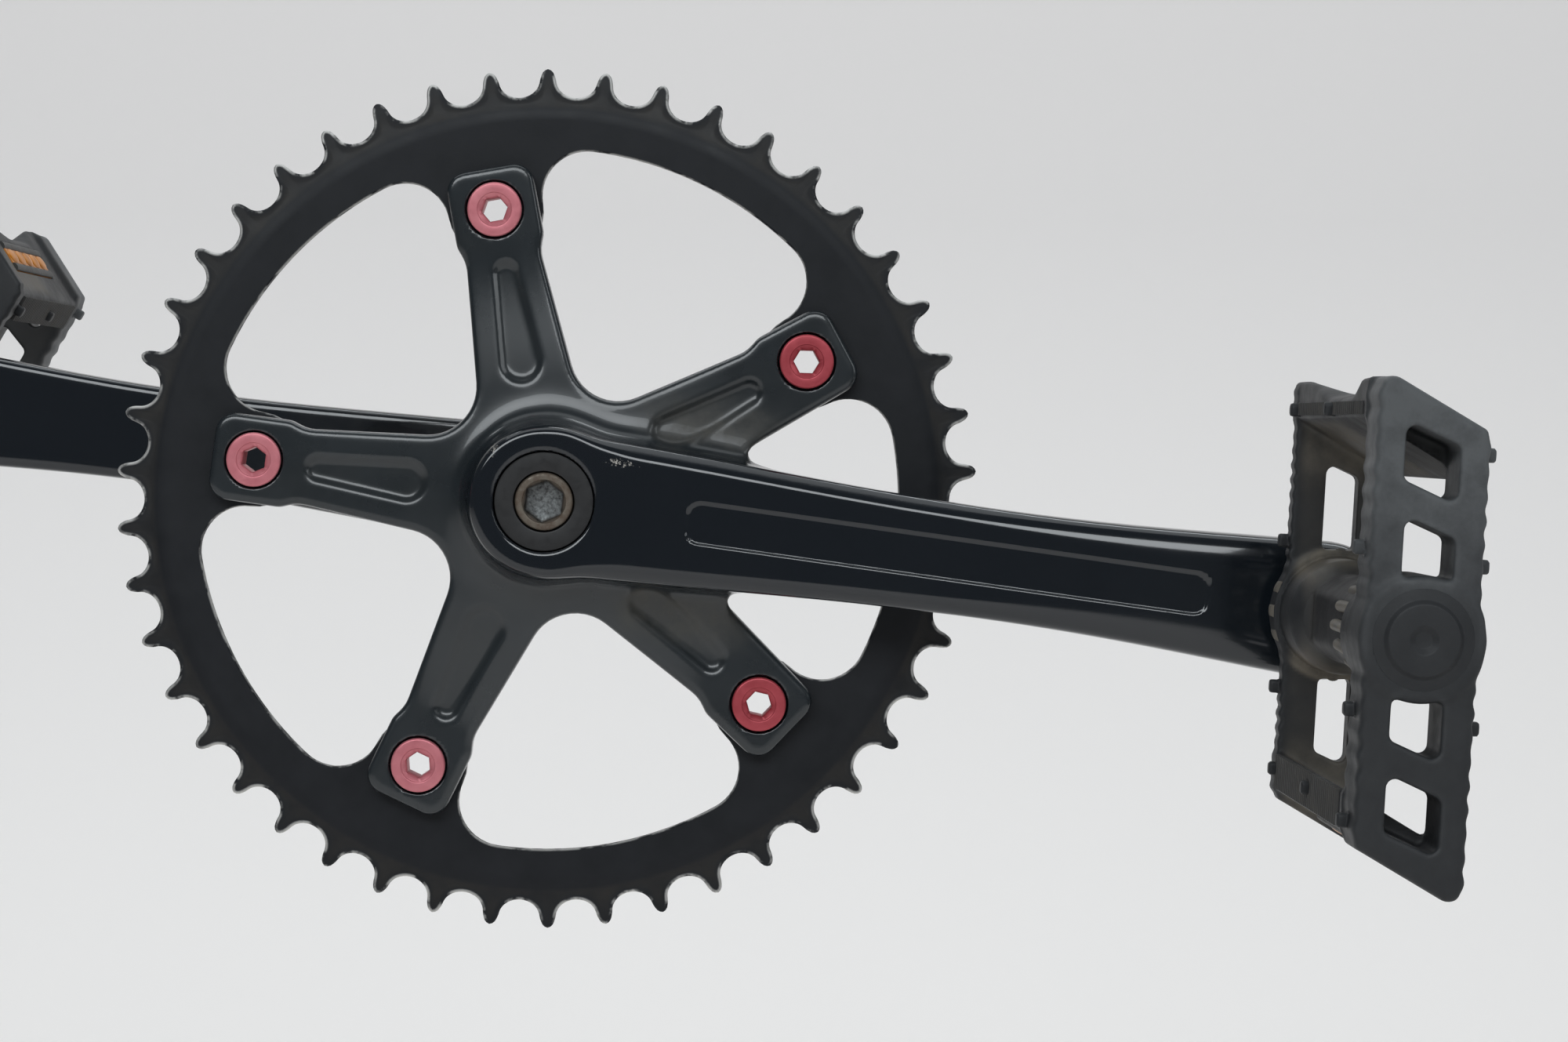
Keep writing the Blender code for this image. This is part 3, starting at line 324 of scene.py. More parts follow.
def net_of(field, *axes):
    """Points, quads and normals of a closed net on a field's zero surface, from the grid lines of three axes."""
    grid = np.meshgrid(*axes, indexing="ij", sparse=True)
    value = np.broadcast_to(field(*grid), [len(a) for a in axes])
    inside = value < 0.0
    span = np.array(inside.shape) - 1
    count = np.zeros(span, np.int8)
    for i, j, k in CORNERS:
        count += inside[i:i + span[0], j:j + span[1], k:k + span[2]]
    active = (count > 0) & (count < 8)
    cells = np.argwhere(active)
    number = np.full(active.shape, -1)
    number[active] = np.arange(len(cells))
    place = np.zeros((len(cells), 3))
    weight = np.zeros(len(cells))
    for a, b in CELL_EDGES:
        low_value = value[tuple((cells + a).T)]
        high_value = value[tuple((cells + b).T)]
        crossing = (low_value < 0.0) != (high_value < 0.0)
        t = low_value / np.where(crossing, low_value - high_value, 1.0)
        place += crossing[:, None] * (a + t[:, None] * (b - a))
        weight += crossing
    place = cells + place / weight[:, None]
    points = np.stack([np.interp(p, np.arange(len(a)), a) for p, a in zip(place.T, axes)], 1)
    quads = []
    for axis in range(3):
        unit = np.eye(3, dtype=int)
        u, v = unit[(axis + 1) % 3], unit[(axis + 2) % 3]
        lower = np.delete(inside, -1, axis)
        edges = np.argwhere(lower != np.delete(inside, 0, axis))
        ring = np.stack([number[tuple((edges - o).T)] for o in (0 * u, u, u + v, v)], 1)
        turned_in = ~lower[tuple(edges.T)]
        ring[turned_in] = ring[turned_in][:, ::-1]
        quads.append(ring)
    quads = np.concatenate(quads)
    reach = 0.4 * min(np.diff(a).min() for a in axes)
    for _ in range(EVENING_ROUNDS):
        normals = settle_points(field, points, reach)
        even_out(points, quads, normals)
    settle_points(field, points, reach)
    normals = settle_points(field, points, reach)
    return points, quads, normals


def placed_mesh(name, points, faces, place, normals=None):
    """A mesh in world metres from points in a local millimetre frame."""
    matrix = np.array(place)
    points = np.asarray(points, float) @ matrix[:3, :3].T + matrix[:3, 3]
    order = -1 if np.linalg.det(matrix[:3, :3]) < 0.0 else 1
    mesh = bpy.data.meshes.new(name)
    mesh.from_pydata(points.tolist(), [], [list(f)[::order] for f in faces])
    mesh.shade_smooth()
    if normals is not None:
        turned_normals = normals @ (matrix[:3, :3] / MM).T
        mesh.normals_split_custom_set_from_vertices(turned_normals.tolist())
    else:
        mesh.set_sharp_from_angle(angle=SHARP_ANGLE)
    return mesh


def lathe(rows, segments=72):
    """Turn rows of (radius, z) about z, listed down the outer side; a third number gives a polygon's sides."""
    points = []
    rings = []
    for radius, z, *sides in rows:
        if radius == 0.0:
            rings.append([len(points)])
            points.append((0.0, 0.0, z))
            continue
        ring = []
        for k in range(segments):
            angle = TURN * k / segments
            reach = radius
            if sides:
                part = TURN / sides[0]
                reach = radius / math.cos((angle + part / 2.0) % part - part / 2.0)
            ring.append(len(points))
            points.append((*polar(reach, angle), z))
        rings.append(ring)
    if len(rings[0]) > 1:
        rings.append(rings[0])
    faces = []
    for high, low in zip(rings, rings[1:]):
        if len(high) == len(low) == 1:
            continue
        for k in range(segments):
            n = (k + 1) % segments
            if len(high) == 1:
                faces.append((high[0], low[k], low[n]))
            elif len(low) == 1:
                faces.append((high[k], low[0], high[n]))
            else:
                faces.append((high[k], low[k], low[n], high[n]))
    return points, faces


def eased(corners):
    """Rows for the lathe from corners of (radius, z, rounding); the ends on the axis stay as they are."""
    return rounded(corners, math.radians(24.0))


class Finish:
    """A Principled material whose sockets are fed by small chains of texture nodes."""

    def __init__(self, name, colour, roughness, metallic=0.0, specular=0.5):
        self.material = bpy.data.materials.new(name)
        self.material.use_nodes = True
        self.nodes = self.material.node_tree.nodes
        self.links = self.material.node_tree.links
        self.shader = self.nodes["Principled BSDF"]
        self.set("Base Color", (*colour, 1.0))
        self.set("Roughness", roughness)
        self.set("Metallic", metallic)
        self.set("Specular IOR Level", specular)
        self.object_place = self.nodes.new("ShaderNodeTexCoord").outputs["Object"]

    def set(self, socket, value):
        self.shader.inputs[socket].default_value = value

    def feed(self, socket, output):
        self.links.new(output, self.shader.inputs[socket])

    def node(self, kind, **inputs):
        made = self.nodes.new(kind)
        for name, value in inputs.items():
            slot = made.inputs[name.replace("_", " ")]
            if isinstance(value, bpy.types.NodeSocket):
                self.links.new(value, slot)
            else:
                slot.default_value = value
        return made

    def noise(self, scale, detail=3.0, roughness=0.55, stretch=(1.0, 1.0, 1.0), turn=(0.0, 0.0, 0.0)):
        """Noise of a number of features to the metre, on Object coordinates."""
        mapping = self.node("ShaderNodeMapping", Vector=self.object_place)
        mapping.inputs["Scale"].default_value = stretch
        mapping.inputs["Rotation"].default_value = turn
        made = self.node("ShaderNodeTexNoise", Vector=mapping.outputs[0], Scale=scale, Detail=detail)
        made.inputs["Roughness"].default_value = roughness
        return made.outputs[0]

    def attribute(self, name):
        made = self.nodes.new("ShaderNodeAttribute")
        made.attribute_name = name
        return made.outputs["Fac"]

    def spread(self, value, low, high, to_low=0.0, to_high=1.0):
        """A clamped change of range."""
        made = self.node("ShaderNodeMapRange", Value=value)
        for name, number in (("From Min", low), ("From Max", high), ("To Min", to_low), ("To Max", to_high)):
            made.inputs[name].default_value = number
        return made.outputs[0]

    def math(self, operation, a, b):
        made = self.nodes.new("ShaderNodeMath")
        made.operation = operation
        for slot, value in zip(made.inputs, (a, b)):
            if isinstance(value, bpy.types.NodeSocket):
                self.links.new(value, slot)
            else:
                slot.default_value = value
        return made.outputs[0]

    def mix(self, factor, a, b):
        made = self.nodes.new("ShaderNodeMix")
        made.data_type = "RGBA"
        for slot, value in ((made.inputs[0], factor), (made.inputs[6], a), (made.inputs[7], b)):
            if isinstance(value, bpy.types.NodeSocket):
                self.links.new(value, slot)
            else:
                slot.default_value = (*value, 1.0)
        return made.outputs[2]

    def bump(self, height, distance, strength=1.0):
        made = self.node("ShaderNodeBump", Height=height, Strength=strength, Distance=distance)
        self.feed("Normal", made.outputs[0])

    def clear_from_behind(self):
        """Let the back of a sheet be seen through, so that it hides nothing from the other side."""
        behind = self.nodes.new("ShaderNodeNewGeometry").outputs["Backfacing"]
        one_sided = self.nodes.new("ShaderNodeMixShader")
        for slot, output in zip(one_sided.inputs, (behind, self.shader.outputs[0],
                                                   self.nodes.new("ShaderNodeBsdfTransparent").outputs[0])):
            self.links.new(output, slot)
        self.links.new(one_sided.outputs[0], self.nodes["Material Output"].inputs["Surface"])


def forged_black():
    """Gloss black on the arm, satin and dusty on the spider, chipped to bare metal where chip is high."""
    finish = Finish("forged_black", (0.006, 0.008, 0.012), 0.2)
    polish = finish.attribute("polish")
    dust_spots = finish.spread(finish.noise(160.0, 6.0, 0.65), 0.42, 0.75)
    dust = finish.math("MULTIPLY", finish.attribute("dust"), finish.spread(dust_spots, 0.0, 1.0, 0.35, 1.0))
    satin = finish.mix(finish.spread(finish.noise(70.0), 0.3, 0.7), (0.006, 0.009, 0.011), (0.010, 0.014, 0.017))
    bare = finish.mix(polish, satin, (0.004, 0.006, 0.009))
    dusty = finish.mix(dust, bare, (0.075, 0.068, 0.054))
    chip = finish.attribute("chip")
    flakes = finish.math("ADD", finish.noise(1700.0, 5.0, 0.7), finish.math("MULTIPLY", chip, 0.2))
    chipped = finish.math("MULTIPLY", chip, finish.spread(flakes, 0.73, 0.77))
    finish.feed("Base Color", finish.mix(chipped, dusty, (0.34, 0.32, 0.29)))
    smears = finish.noise(45.0, 5.0, 0.6)
    satin_rough = finish.spread(smears, 0.3, 0.7, 0.24, 0.34)
    gloss_rough = finish.spread(smears, 0.3, 0.7, 0.09, 0.15)
    rough = finish.math("ADD", finish.math("MULTIPLY", finish.math("SUBTRACT", 1.0, polish), satin_rough),
                        finish.math("MULTIPLY", polish, gloss_rough))
    worn = finish.math("MAXIMUM", dust, chipped)
    finish.feed("Roughness", finish.math("ADD", rough, finish.math("MULTIPLY", worn, 0.4)))
    finish.feed("Coat Weight", finish.spread(worn, 0.0, 0.6, 0.4, 0.0))
    finish.set("Coat Roughness", 0.05)
    finish.bump(finish.noise(900.0, 2.0), 0.00002, 0.25)
    return finish.material


def ring_black():
    """Matte black, brown with old oil where the vertex attribute grime is high and bare metal where wear is."""
    finish = Finish("ring_black", (0.005, 0.006, 0.009), 0.5, 0.0, 0.27)
    grain = finish.noise(1400.0, 2.0)
    scuffs = finish.noise(90.0, 6.0, 0.65)
    paint = finish.mix(finish.spread(scuffs, 0.35, 0.7), (0.003, 0.004, 0.006), (0.0075, 0.0085, 0.011))
    oil = finish.math("MULTIPLY", finish.attribute("grime_and_painted_shade"), finish.spread(finish.noise(170.0, 5.0), 0.3, 0.7, 0.2, 0.9))
    coat = finish.mix(oil, paint, (0.017, 0.0155, 0.014))
    worn = finish.math("MULTIPLY", finish.attribute("wear"), finish.spread(finish.noise(260.0, 4.0), 0.42, 0.56))
    finish.feed("Base Color", finish.mix(worn, coat, (0.55, 0.54, 0.52)))
    finish.feed("Metallic", finish.math("MULTIPLY", worn, 0.9))
    finish.feed("Roughness", finish.spread(scuffs, 0.3, 0.75, 0.44, 0.60))
    finish.bump(grain, 0.00003, 0.4)
    return finish.material


def red_anodised():
    """Red dye on metal, faded to pink where the vertex attribute fade is high."""
    finish = Finish("red_anodised", (0.46, 0.10, 0.125), 0.36, 0.4)
    patches = finish.spread(finish.noise(260.0, 4.0), 0.3, 0.7)
    strong = finish.mix(patches, (0.34, 0.040, 0.052), (0.42, 0.060, 0.076))
    pale = finish.mix(patches, (0.50, 0.145, 0.170), (0.58, 0.195, 0.220))
    finish.feed("Base Color", finish.mix(finish.attribute("fade_and_painted_light"), strong, pale))
    finish.feed("Roughness", finish.spread(finish.noise(800.0), 0.3, 0.7, 0.32, 0.45))
    finish.bump(finish.noise(2500.0, 2.0), 0.00002, 0.3)
    return finish.material


def rusted_steel():
    """Rusty bolt steel, with painted shade that darkens the walls of its key where a vertex attribute marks them, and
    grey on the floor of its key where bare is.
    """
    finish = Finish("rusted_steel", (0.16, 0.13, 0.10), 0.5, 0.5)
    rust = finish.spread(finish.noise(420.0, 6.0, 0.7), 0.40, 0.62)
    skin = finish.mix(rust, (0.15, 0.13, 0.105), (0.075, 0.050, 0.034))
    scored = finish.mix(finish.spread(finish.noise(1100.0, 5.0, 0.7), 0.35, 0.6), (0.05, 0.05, 0.05), (0.21, 0.22, 0.22))
    # Painted shade: the walls of the hex key are darkened to near black
    shaded_key_walls = finish.mix(finish.attribute("grime_and_painted_shade"), skin, (0.022, 0.018, 0.015))
    finish.feed("Base Color", finish.mix(finish.attribute("bare"), shaded_key_walls, scored))
    finish.feed("Metallic", finish.spread(rust, 0.0, 1.0, 0.7, 0.15))
    finish.feed("Roughness", finish.spread(rust, 0.0, 1.0, 0.40, 0.72))
    finish.bump(finish.noise(1500.0, 4.0), 0.00008, 0.6)
    return finish.material


def black_ring():
    finish = Finish("black_extractor_ring", (0.008, 0.008, 0.010), 0.4)
    turning_marks = finish.noise(600.0, 2.0)
    finish.feed("Roughness", finish.spread(turning_marks, 0.3, 0.7, 0.36, 0.5))
    finish.feed("Base Color", finish.mix(finish.noise(200.0, 5.0), (0.004, 0.004, 0.005), (0.010, 0.0095, 0.0095)))
    return finish.material


def bright_steel():
    finish = Finish("bright_steel", (0.55, 0.55, 0.56), 0.26, 1.0)
    haze = finish.noise(300.0, 5.0, 0.6)
    finish.feed("Base Color", finish.mix(finish.spread(haze, 0.4, 0.75), (0.58, 0.58, 0.59), (0.40, 0.39, 0.37)))
    finish.feed("Roughness", finish.spread(haze, 0.3, 0.7, 0.2, 0.36))
    finish.bump(finish.noise(1800.0, 2.0), 0.00002, 0.25)
    return finish.material


def dark_steel():
    finish = Finish("dark_steel", (0.10, 0.10, 0.11), 0.42, 0.9)
    oil = finish.noise(120.0, 6.0, 0.65)
    finish.feed("Base Color", finish.mix(finish.spread(oil, 0.35, 0.7), (0.12, 0.12, 0.125), (0.055, 0.05, 0.045)))
    finish.feed("Roughness", finish.spread(oil, 0.3, 0.7, 0.34, 0.55))
    finish.bump(finish.noise(1200.0, 3.0), 0.00003, 0.3)
    return finish.material


def seal_rubber():
    finish = Finish("seal_rubber", (0.018, 0.018, 0.018), 0.7)
    finish.feed("Base Color", finish.mix(finish.noise(500.0, 4.0), (0.012, 0.012, 0.012), (0.03, 0.029, 0.027)))
    finish.bump(finish.noise(2500.0, 2.0), 0.00003, 0.4)
    return finish.material


def pedal_plastic():
    """Dark moulded plastic: greyed by a vertex attribute that holds fade and painted light, dusty brown by dust, and
    near black by painted shade where a vertex attribute marks it.
    """
    finish = Finish("pedal_plastic", (0.024, 0.024, 0.026), 0.55, 0.0, 0.36)
    patches = finish.spread(finish.noise(130.0, 6.0, 0.65), 0.3, 0.7)
    dust = finish.math("MULTIPLY", finish.attribute("dust"), finish.spread(patches, 0.0, 1.0, 0.3, 1.0))
    # Greyer where the attribute is high: fade of the plastic, and painted light on the outer plate
    fade_and_painted_light = finish.math("MULTIPLY", finish.attribute("fade_and_painted_light"), finish.spread(finish.noise(110.0, 7.0, 0.7), 0.3, 0.7, 0.55, 1.35))
    shell = finish.mix(fade_and_painted_light, (0.007, 0.0075, 0.009), (0.078, 0.082, 0.085))
    dusty = finish.mix(dust, shell, (0.165, 0.143, 0.112))
    # Painted shade: near black where its vertex attribute is high
    finish.feed("Base Color", finish.mix(finish.attribute("painted_shade"), dusty, (0.007, 0.007, 0.008)))
    finish.feed("Roughness", finish.spread(patches, 0.0, 1.0, 0.46, 0.66))
    finish.bump(finish.noise(1600.0, 3.0), 0.00006, 0.5)
    return finish.material


def amber_lens():
    finish = Finish("amber_lens", (0.56, 0.19, 0.003), 0.36, 0.0, 0.25)
    grime_and_painted_shade = finish.spread(finish.noise(220.0, 5.0), 0.45, 0.75)
    finish.feed("Base Color", finish.mix(grime_and_painted_shade, (0.56, 0.19, 0.003), (0.30, 0.095, 0.004)))
    finish.feed("Roughness", finish.spread(grime_and_painted_shade, 0.0, 1.0, 0.32, 0.55))
    return finish.material


def front_of_arm(x):
    """Front z of a crank arm, which swings outwards to the pedal."""
    return BOSS_FRONT + (EYE_FRONT - BOSS_FRONT) * smoothstep((x - 10.0) / 145.0)


def back_of_arm(x):
    return ARM_BACK + (EYE_BACK - ARM_BACK) * smoothstep((x - 20.0) / 110.0)


HALF_CURVE = np.polynomial.Polynomial.fit(ARM_X, ARM_HALF, 5)


def arm_field(x, y, z):
    """A crank arm without its bores: blade, eye and boss under one front face."""
    side = np.maximum(np.abs(y) - HALF_CURVE(np.clip(x, 0.0, CRANK_LENGTH)), x - CRANK_LENGTH)
    plan = meet(np.minimum(side, np.hypot(x - CRANK_LENGTH, y) - EYE_RADIUS), -x, 4.0)
    blade = meet(plan, back_of_arm(x) - z, BACK_ROUND)
    flare = BOSS_RADIUS + 0.10 * (BOSS_FRONT - z)
    boss = meet(np.hypot(x, y) - flare, BOSS_BACK - z, 1.5)
    body = blend(blade, boss, 2.5)
    front = z - front_of_arm(x)
    grown_wide = smoothstep((x - 2.0) / 18.0)
    width, depth = [small + (large - small) * grown_wide for small, large in zip(BOSS_CHAMFER, ARM_CHAMFER)]
    chamfer = (depth * body + width * front + depth * width) / np.hypot(depth, width)
    softer = smoothstep((x - 80.0) / 70.0)
    return meet(meet(body, chamfer, 0.9 + 0.9 * softer), front, 0.55 + 1.6 * softer)


def groove_field(x, y, z):
    """Long shallow recess with sloped walls in the arm's front face."""
    middle = (GROOVE_X[0] + GROOVE_X[1]) / 2.0
    reach_x = np.abs(x - middle) - (GROOVE_X[1] - GROOVE_X[0]) / 2.0 + GROOVE_CORNER
    reach_y = np.abs(y) - GROOVE_HALF + GROOVE_CORNER
    outside = np.hypot(np.maximum(reach_x, 0.0), np.maximum(reach_y, 0.0))
    plan = outside + np.minimum(np.maximum(reach_x, reach_y), 0.0) - GROOVE_CORNER
    return sunk(plan, front_of_arm(x) - z, GROOVE_DEPTH, 0.7, 0.24)


def sunk(plan, below, depth, slope, rounding):
    """A recess of a plan outline in a surface: walls lean inwards by slope, and the floor edge is rounded."""
    wall = (plan + below * slope) / math.hypot(1.0, slope)
    return meet(wall, below - depth, rounding)


def arm_bores(body, x, y, z):
    """Cut what both arms have: taper, extractor bore, bolt seat and pedal eye."""
    radius = np.hypot(x, y)
    mouth = np.minimum(radius - EXTRACTOR_RADIUS, (radius - EXTRACTOR_RADIUS + BOSS_FRONT - z - 0.3) * 0.7071)
    body = carve(body, np.maximum(mouth, BOLT_SEAT_Z - z), 0.5)
    half = TAPER_END_HALF + (SPINDLE_END_Z - z) * TAPER_SLOPE + 0.3
    body = carve(body, np.maximum(np.maximum(np.abs(x), np.abs(y)) - half, z - BOLT_SEAT_Z - 1.0), 0.2)
    eye = np.hypot(x - CRANK_LENGTH, y) - PEDAL_EYE_RADIUS
    return carve(body, eye, 0.6)


def left_arm_field(x, y, z):
    body = carve(arm_field(x, y, z), groove_field(x, y, z), 0.24)
    return arm_bores(body, x, y, z)


def spider_outline():
    """Five arms with tabs, rounded at the roots, and a web to the crank arm in the first gap."""
    web_x, web_y = WEB_CORNER
    corners = [(43.5, -10.0, 1.0), (43.5, 10.0, 1.0), (web_x, web_y, 2.3)]
    tab = [(NECK_R, -NECK_HALF, 8.0), (NECK_R + 3.5, -TAB_HALF, 5.0), (TAB_END, -TAB_HALF, 4.5)]
    mirrored = [(x, -y, r) for x, y, r in reversed(tab)]
    for k, angle in enumerate(BOLT_ANGLES):
        side = tab[2:] if k == 0 else tab
        other = mirrored[:1] if k == BOLT_COUNT - 1 else mirrored
        corners += [(*turn_point((x, y), angle), r) for x, y, r in side + other]
        if k < BOLT_COUNT - 1:
            corners.append((*polar(ROOT_CORNER_R, angle + math.pi / BOLT_COUNT), ROOT_FILLET))
    corners.append((web_x, -web_y, 2.3))
    return rounded(corners)


SPIDER_OUTLINE = spider_outline()


def spider_front(radius):
    """Front z of the dished spider."""
    return HUB_FRONT + (TAB_FRONT - HUB_FRONT) * smoothstep((radius - 20.0) / (NECK_R - 20.0))


def pocket_field(x, y, z):
    """The tapered pockets along the five spider arms."""
    below = spider_front(np.hypot(x, y)) - z
    pockets = None
    for angle in BOLT_ANGLES:
        p = x * math.cos(angle) + y * math.sin(angle)
        q = y * math.cos(angle) - x * math.sin(angle)
        pocket = sunk(tapered_slot(p, q, 31.0, 50.6, 4.6, 2.9), below, 1.1, 0.9, 0.7)
        pockets = pocket if pockets is None else np.minimum(pockets, pocket)
    return pockets


def drive_arm_field(x, y, z):
    """Crank arm and spider, one forging."""
    radius = np.hypot(x, y)
    plate = meet(outline_distance(x, y, SPIDER_OUTLINE), z - spider_front(radius), 1.5)
    plate = meet(plate, SPIDER_BACK - z, 0.6)
    plate = carve(plate, pocket_field(x, y, z), 0.7)
    cove = 3.0 + 3.0 * smoothstep((z - 47.5) / 4.0)
    body = blend(arm_field(x, y, z), plate, cove)
    body = carve(body, groove_field(x, y, z), 0.24)
    body = arm_bores(body, x, y, z)
    for angle in BOLT_ANGLES:
        cx, cy = polar(BOLT_CIRCLE, angle)
        reach = np.hypot(x - cx, y - cy)
        seat = np.maximum(reach - BOLT_HEAD_RADIUS - 0.35, HEAD_SEAT_Z - z)
        body = carve(body, np.minimum(seat, reach - BOLT_HOLE_RADIUS), 0.35)
    return body


def add_attribute(mesh, name, values):
    layer = mesh.attributes.new(name, "FLOAT", "POINT")
    layer.data.foreach_set("value", np.asarray(values, np.float32))


def show(name, mesh, material, body, slot, *nodes):
    """Put a finished mesh in the scene, on its body, in place of CAD nodes."""
    mesh.materials.clear()
    mesh.materials.append(material)
    piece = bpy.data.objects.new(name, mesh)
    bpy.context.scene.collection.objects.link(piece)
    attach(piece, body)
    if nodes:
        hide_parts(*nodes)
    return piece


# Places on the drive arm where the paint is chipped, as middle and half sizes
CHIPS = [(-12.4, 9.8, 2.2, 3.4), (15.5, 10.6, 6.5, 2.0)]


def make_drive_arm(finish):
    end = CRANK_LENGTH + EYE_RADIUS + 1.0
    along = grid_lines(-76.0, (-22.0, 0.73), (26.0, 0.5), (76.0, 0.73), (end, 1.02))
    across = grid_lines(-76.0, (-18.0, 0.74), (-6.0, 0.5), (-3.2, 0.28), (3.2, 0.5), (6.0, 0.28),
                        (18.0, 0.5), (76.0, 0.74))
    out = grid_lines(BOSS_BACK - 1.0, (EYE_FRONT + 1.0, 0.72))
    points, quads, normals = net_of(drive_arm_field, along, across, out)
    mesh = placed_mesh("drive_crank_arm", points, quads, CRANK, normals)
    x, y, z = points.T
    above = z - spider_front(np.hypot(x, y))
    add_attribute(mesh, "polish", smoothstep((above - 2.0) / 4.0) * (1.0 - 0.3 * smoothstep((x - 115.0) / 45.0)))
    recess = smoothstep((0.6 - pocket_field(x, y, z)) / 1.6)
    web = smoothstep((x - 14.0) / 10.0) * smoothstep((52.0 - x) / 10.0) * smoothstep((30.0 - np.abs(y)) / 8.0)
    add_attribute(mesh, "dust", np.clip(0.2 * recess + 0.6 * web, 0.0, 1.0) * smoothstep((2.0 - above) / 2.0))
    chip = sum(smoothstep(1.0 - np.hypot((x - cx) / rx, (y - cy) / ry)) for cx, cy, rx, ry in CHIPS)
    add_attribute(mesh, "chip", np.clip(1.3 * chip, 0.0, 1.0) * smoothstep((z - BOSS_FRONT + 3.0) / 1.5))
    show("drive_arm", mesh, finish, "crankset", "forged_black", "drive_crank_arm")


def make_left_arm(finish):
    side = BOSS_RADIUS + 4.0
    along = grid_lines(-side, (26.0, 0.6), (CRANK_LENGTH + EYE_RADIUS + 1.0, 0.9))
    across = grid_lines(-side, (side, 0.6))
    out = grid_lines(BOSS_BACK - 1.0, (EYE_FRONT + 1.0, 0.7))
    points, quads, normals = net_of(left_arm_field, along, across, out)
    mesh = placed_mesh("left_crank_arm", points, quads, CRANK_LEFT, normals)
    add_attribute(mesh, "polish", np.ones(len(points)))
    add_attribute(mesh, "dust", smoothstep((EYE_BACK - points[:, 2]) / 25.0) * 0.3)
    show("left_arm", mesh, finish, "crankset", "forged_black", "left_crank_arm")


def round_pattern_tree():
    """Geometry Nodes: copies of a piece about z, welded where they meet."""
    tree = bpy.data.node_groups.new("round_pattern", "GeometryNodeTree")
    tree.interface.new_socket("Pattern", in_out="OUTPUT", socket_type="NodeSocketGeometry")
    for name, kind in (("Piece", "NodeSocketObject"), ("Count", "NodeSocketInt"),
                       ("Weld", "NodeSocketFloat"), ("Finish", "NodeSocketMaterial")):
        tree.interface.new_socket(name, in_out="INPUT", socket_type=kind)
    nodes, link = tree.nodes, tree.links.new
    given = nodes.new("NodeGroupInput").outputs
    piece = nodes.new("GeometryNodeObjectInfo")
    points = nodes.new("GeometryNodePoints")
    index = nodes.new("GeometryNodeInputIndex")
    share = nodes.new("ShaderNodeMath")
    share.operation = "DIVIDE"
    angle = nodes.new("ShaderNodeMath")
    angle.operation = "MULTIPLY"
    angle.inputs[1].default_value = TURN
    euler = nodes.new("ShaderNodeCombineXYZ")
    turn = nodes.new("FunctionNodeEulerToRotation")
    copies = nodes.new("GeometryNodeInstanceOnPoints")
    real = nodes.new("GeometryNodeRealizeInstances")
    weld = nodes.new("GeometryNodeMergeByDistance")
    coat = nodes.new("GeometryNodeSetMaterial")
    result = nodes.new("NodeGroupOutput").inputs
    link(given["Piece"], piece.inputs["Object"])
    link(given["Count"], points.inputs["Count"])
    link(index.outputs[0], share.inputs[0])
    link(given["Count"], share.inputs[1])
    link(share.outputs[0], angle.inputs[0])
    link(angle.outputs[0], euler.inputs["Z"])
    link(euler.outputs[0], turn.inputs[0])
    link(points.outputs[0], copies.inputs["Points"])
    link(piece.outputs["Geometry"], copies.inputs["Instance"])
    link(turn.outputs[0], copies.inputs["Rotation"])
    link(copies.outputs[0], real.inputs[0])
    link(real.outputs[0], weld.inputs["Geometry"])
    link(given["Weld"], weld.inputs["Distance"])
    link(weld.outputs[0], coat.inputs["Geometry"])
    link(given["Finish"], coat.inputs["Material"])
    link(coat.outputs[0], result["Pattern"])
    return tree


ROUND_PATTERN = round_pattern_tree()


def grown(tree, **values):
    """Run a tree with its named inputs and return the plain mesh."""
    holder = bpy.data.objects.new("holder", bpy.data.meshes.new("holder"))
    bpy.context.scene.collection.objects.link(holder)
    step = holder.modifiers.new(tree.name, "NODES")
    step.node_group = tree
    for item in tree.interface.items_tree:
        if item.item_type == "SOCKET" and item.in_out == "INPUT":
            step[item.identifier] = values[item.name]
    bpy.context.view_layer.update()
    mesh = bpy.data.meshes.new_from_object(holder.evaluated_get(bpy.context.evaluated_depsgraph_get()))
    holder.modifiers.remove(step)
    bpy.data.objects.remove(holder, do_unlink=True)
    return mesh


def round_pattern(source, count, finish, weld=0.001):
    """Copies of a mesh about z, in the same local millimetres."""
    pattern_piece = bpy.data.objects.new("pattern_piece", source)
    bpy.context.scene.collection.objects.link(pattern_piece)
    mesh = grown(ROUND_PATTERN, Piece=pattern_piece, Count=count, Weld=weld, Finish=finish)
    bpy.data.objects.remove(pattern_piece, do_unlink=True)
    return mesh


def settled(mesh, place):
    """A mesh in local millimetres put in place in metres, and shaded."""
    mesh.transform(place)
    if place.determinant() < 0.0:
        mesh.flip_normals()
    mesh.shade_smooth()
    mesh.set_sharp_from_angle(angle=SHARP_ANGLE)
    return mesh


def local_mesh(points, faces):
    mesh = bpy.data.meshes.new("pattern_piece")
    mesh.from_pydata([tuple(p) for p in points], [], [tuple(f) for f in faces])
    return mesh


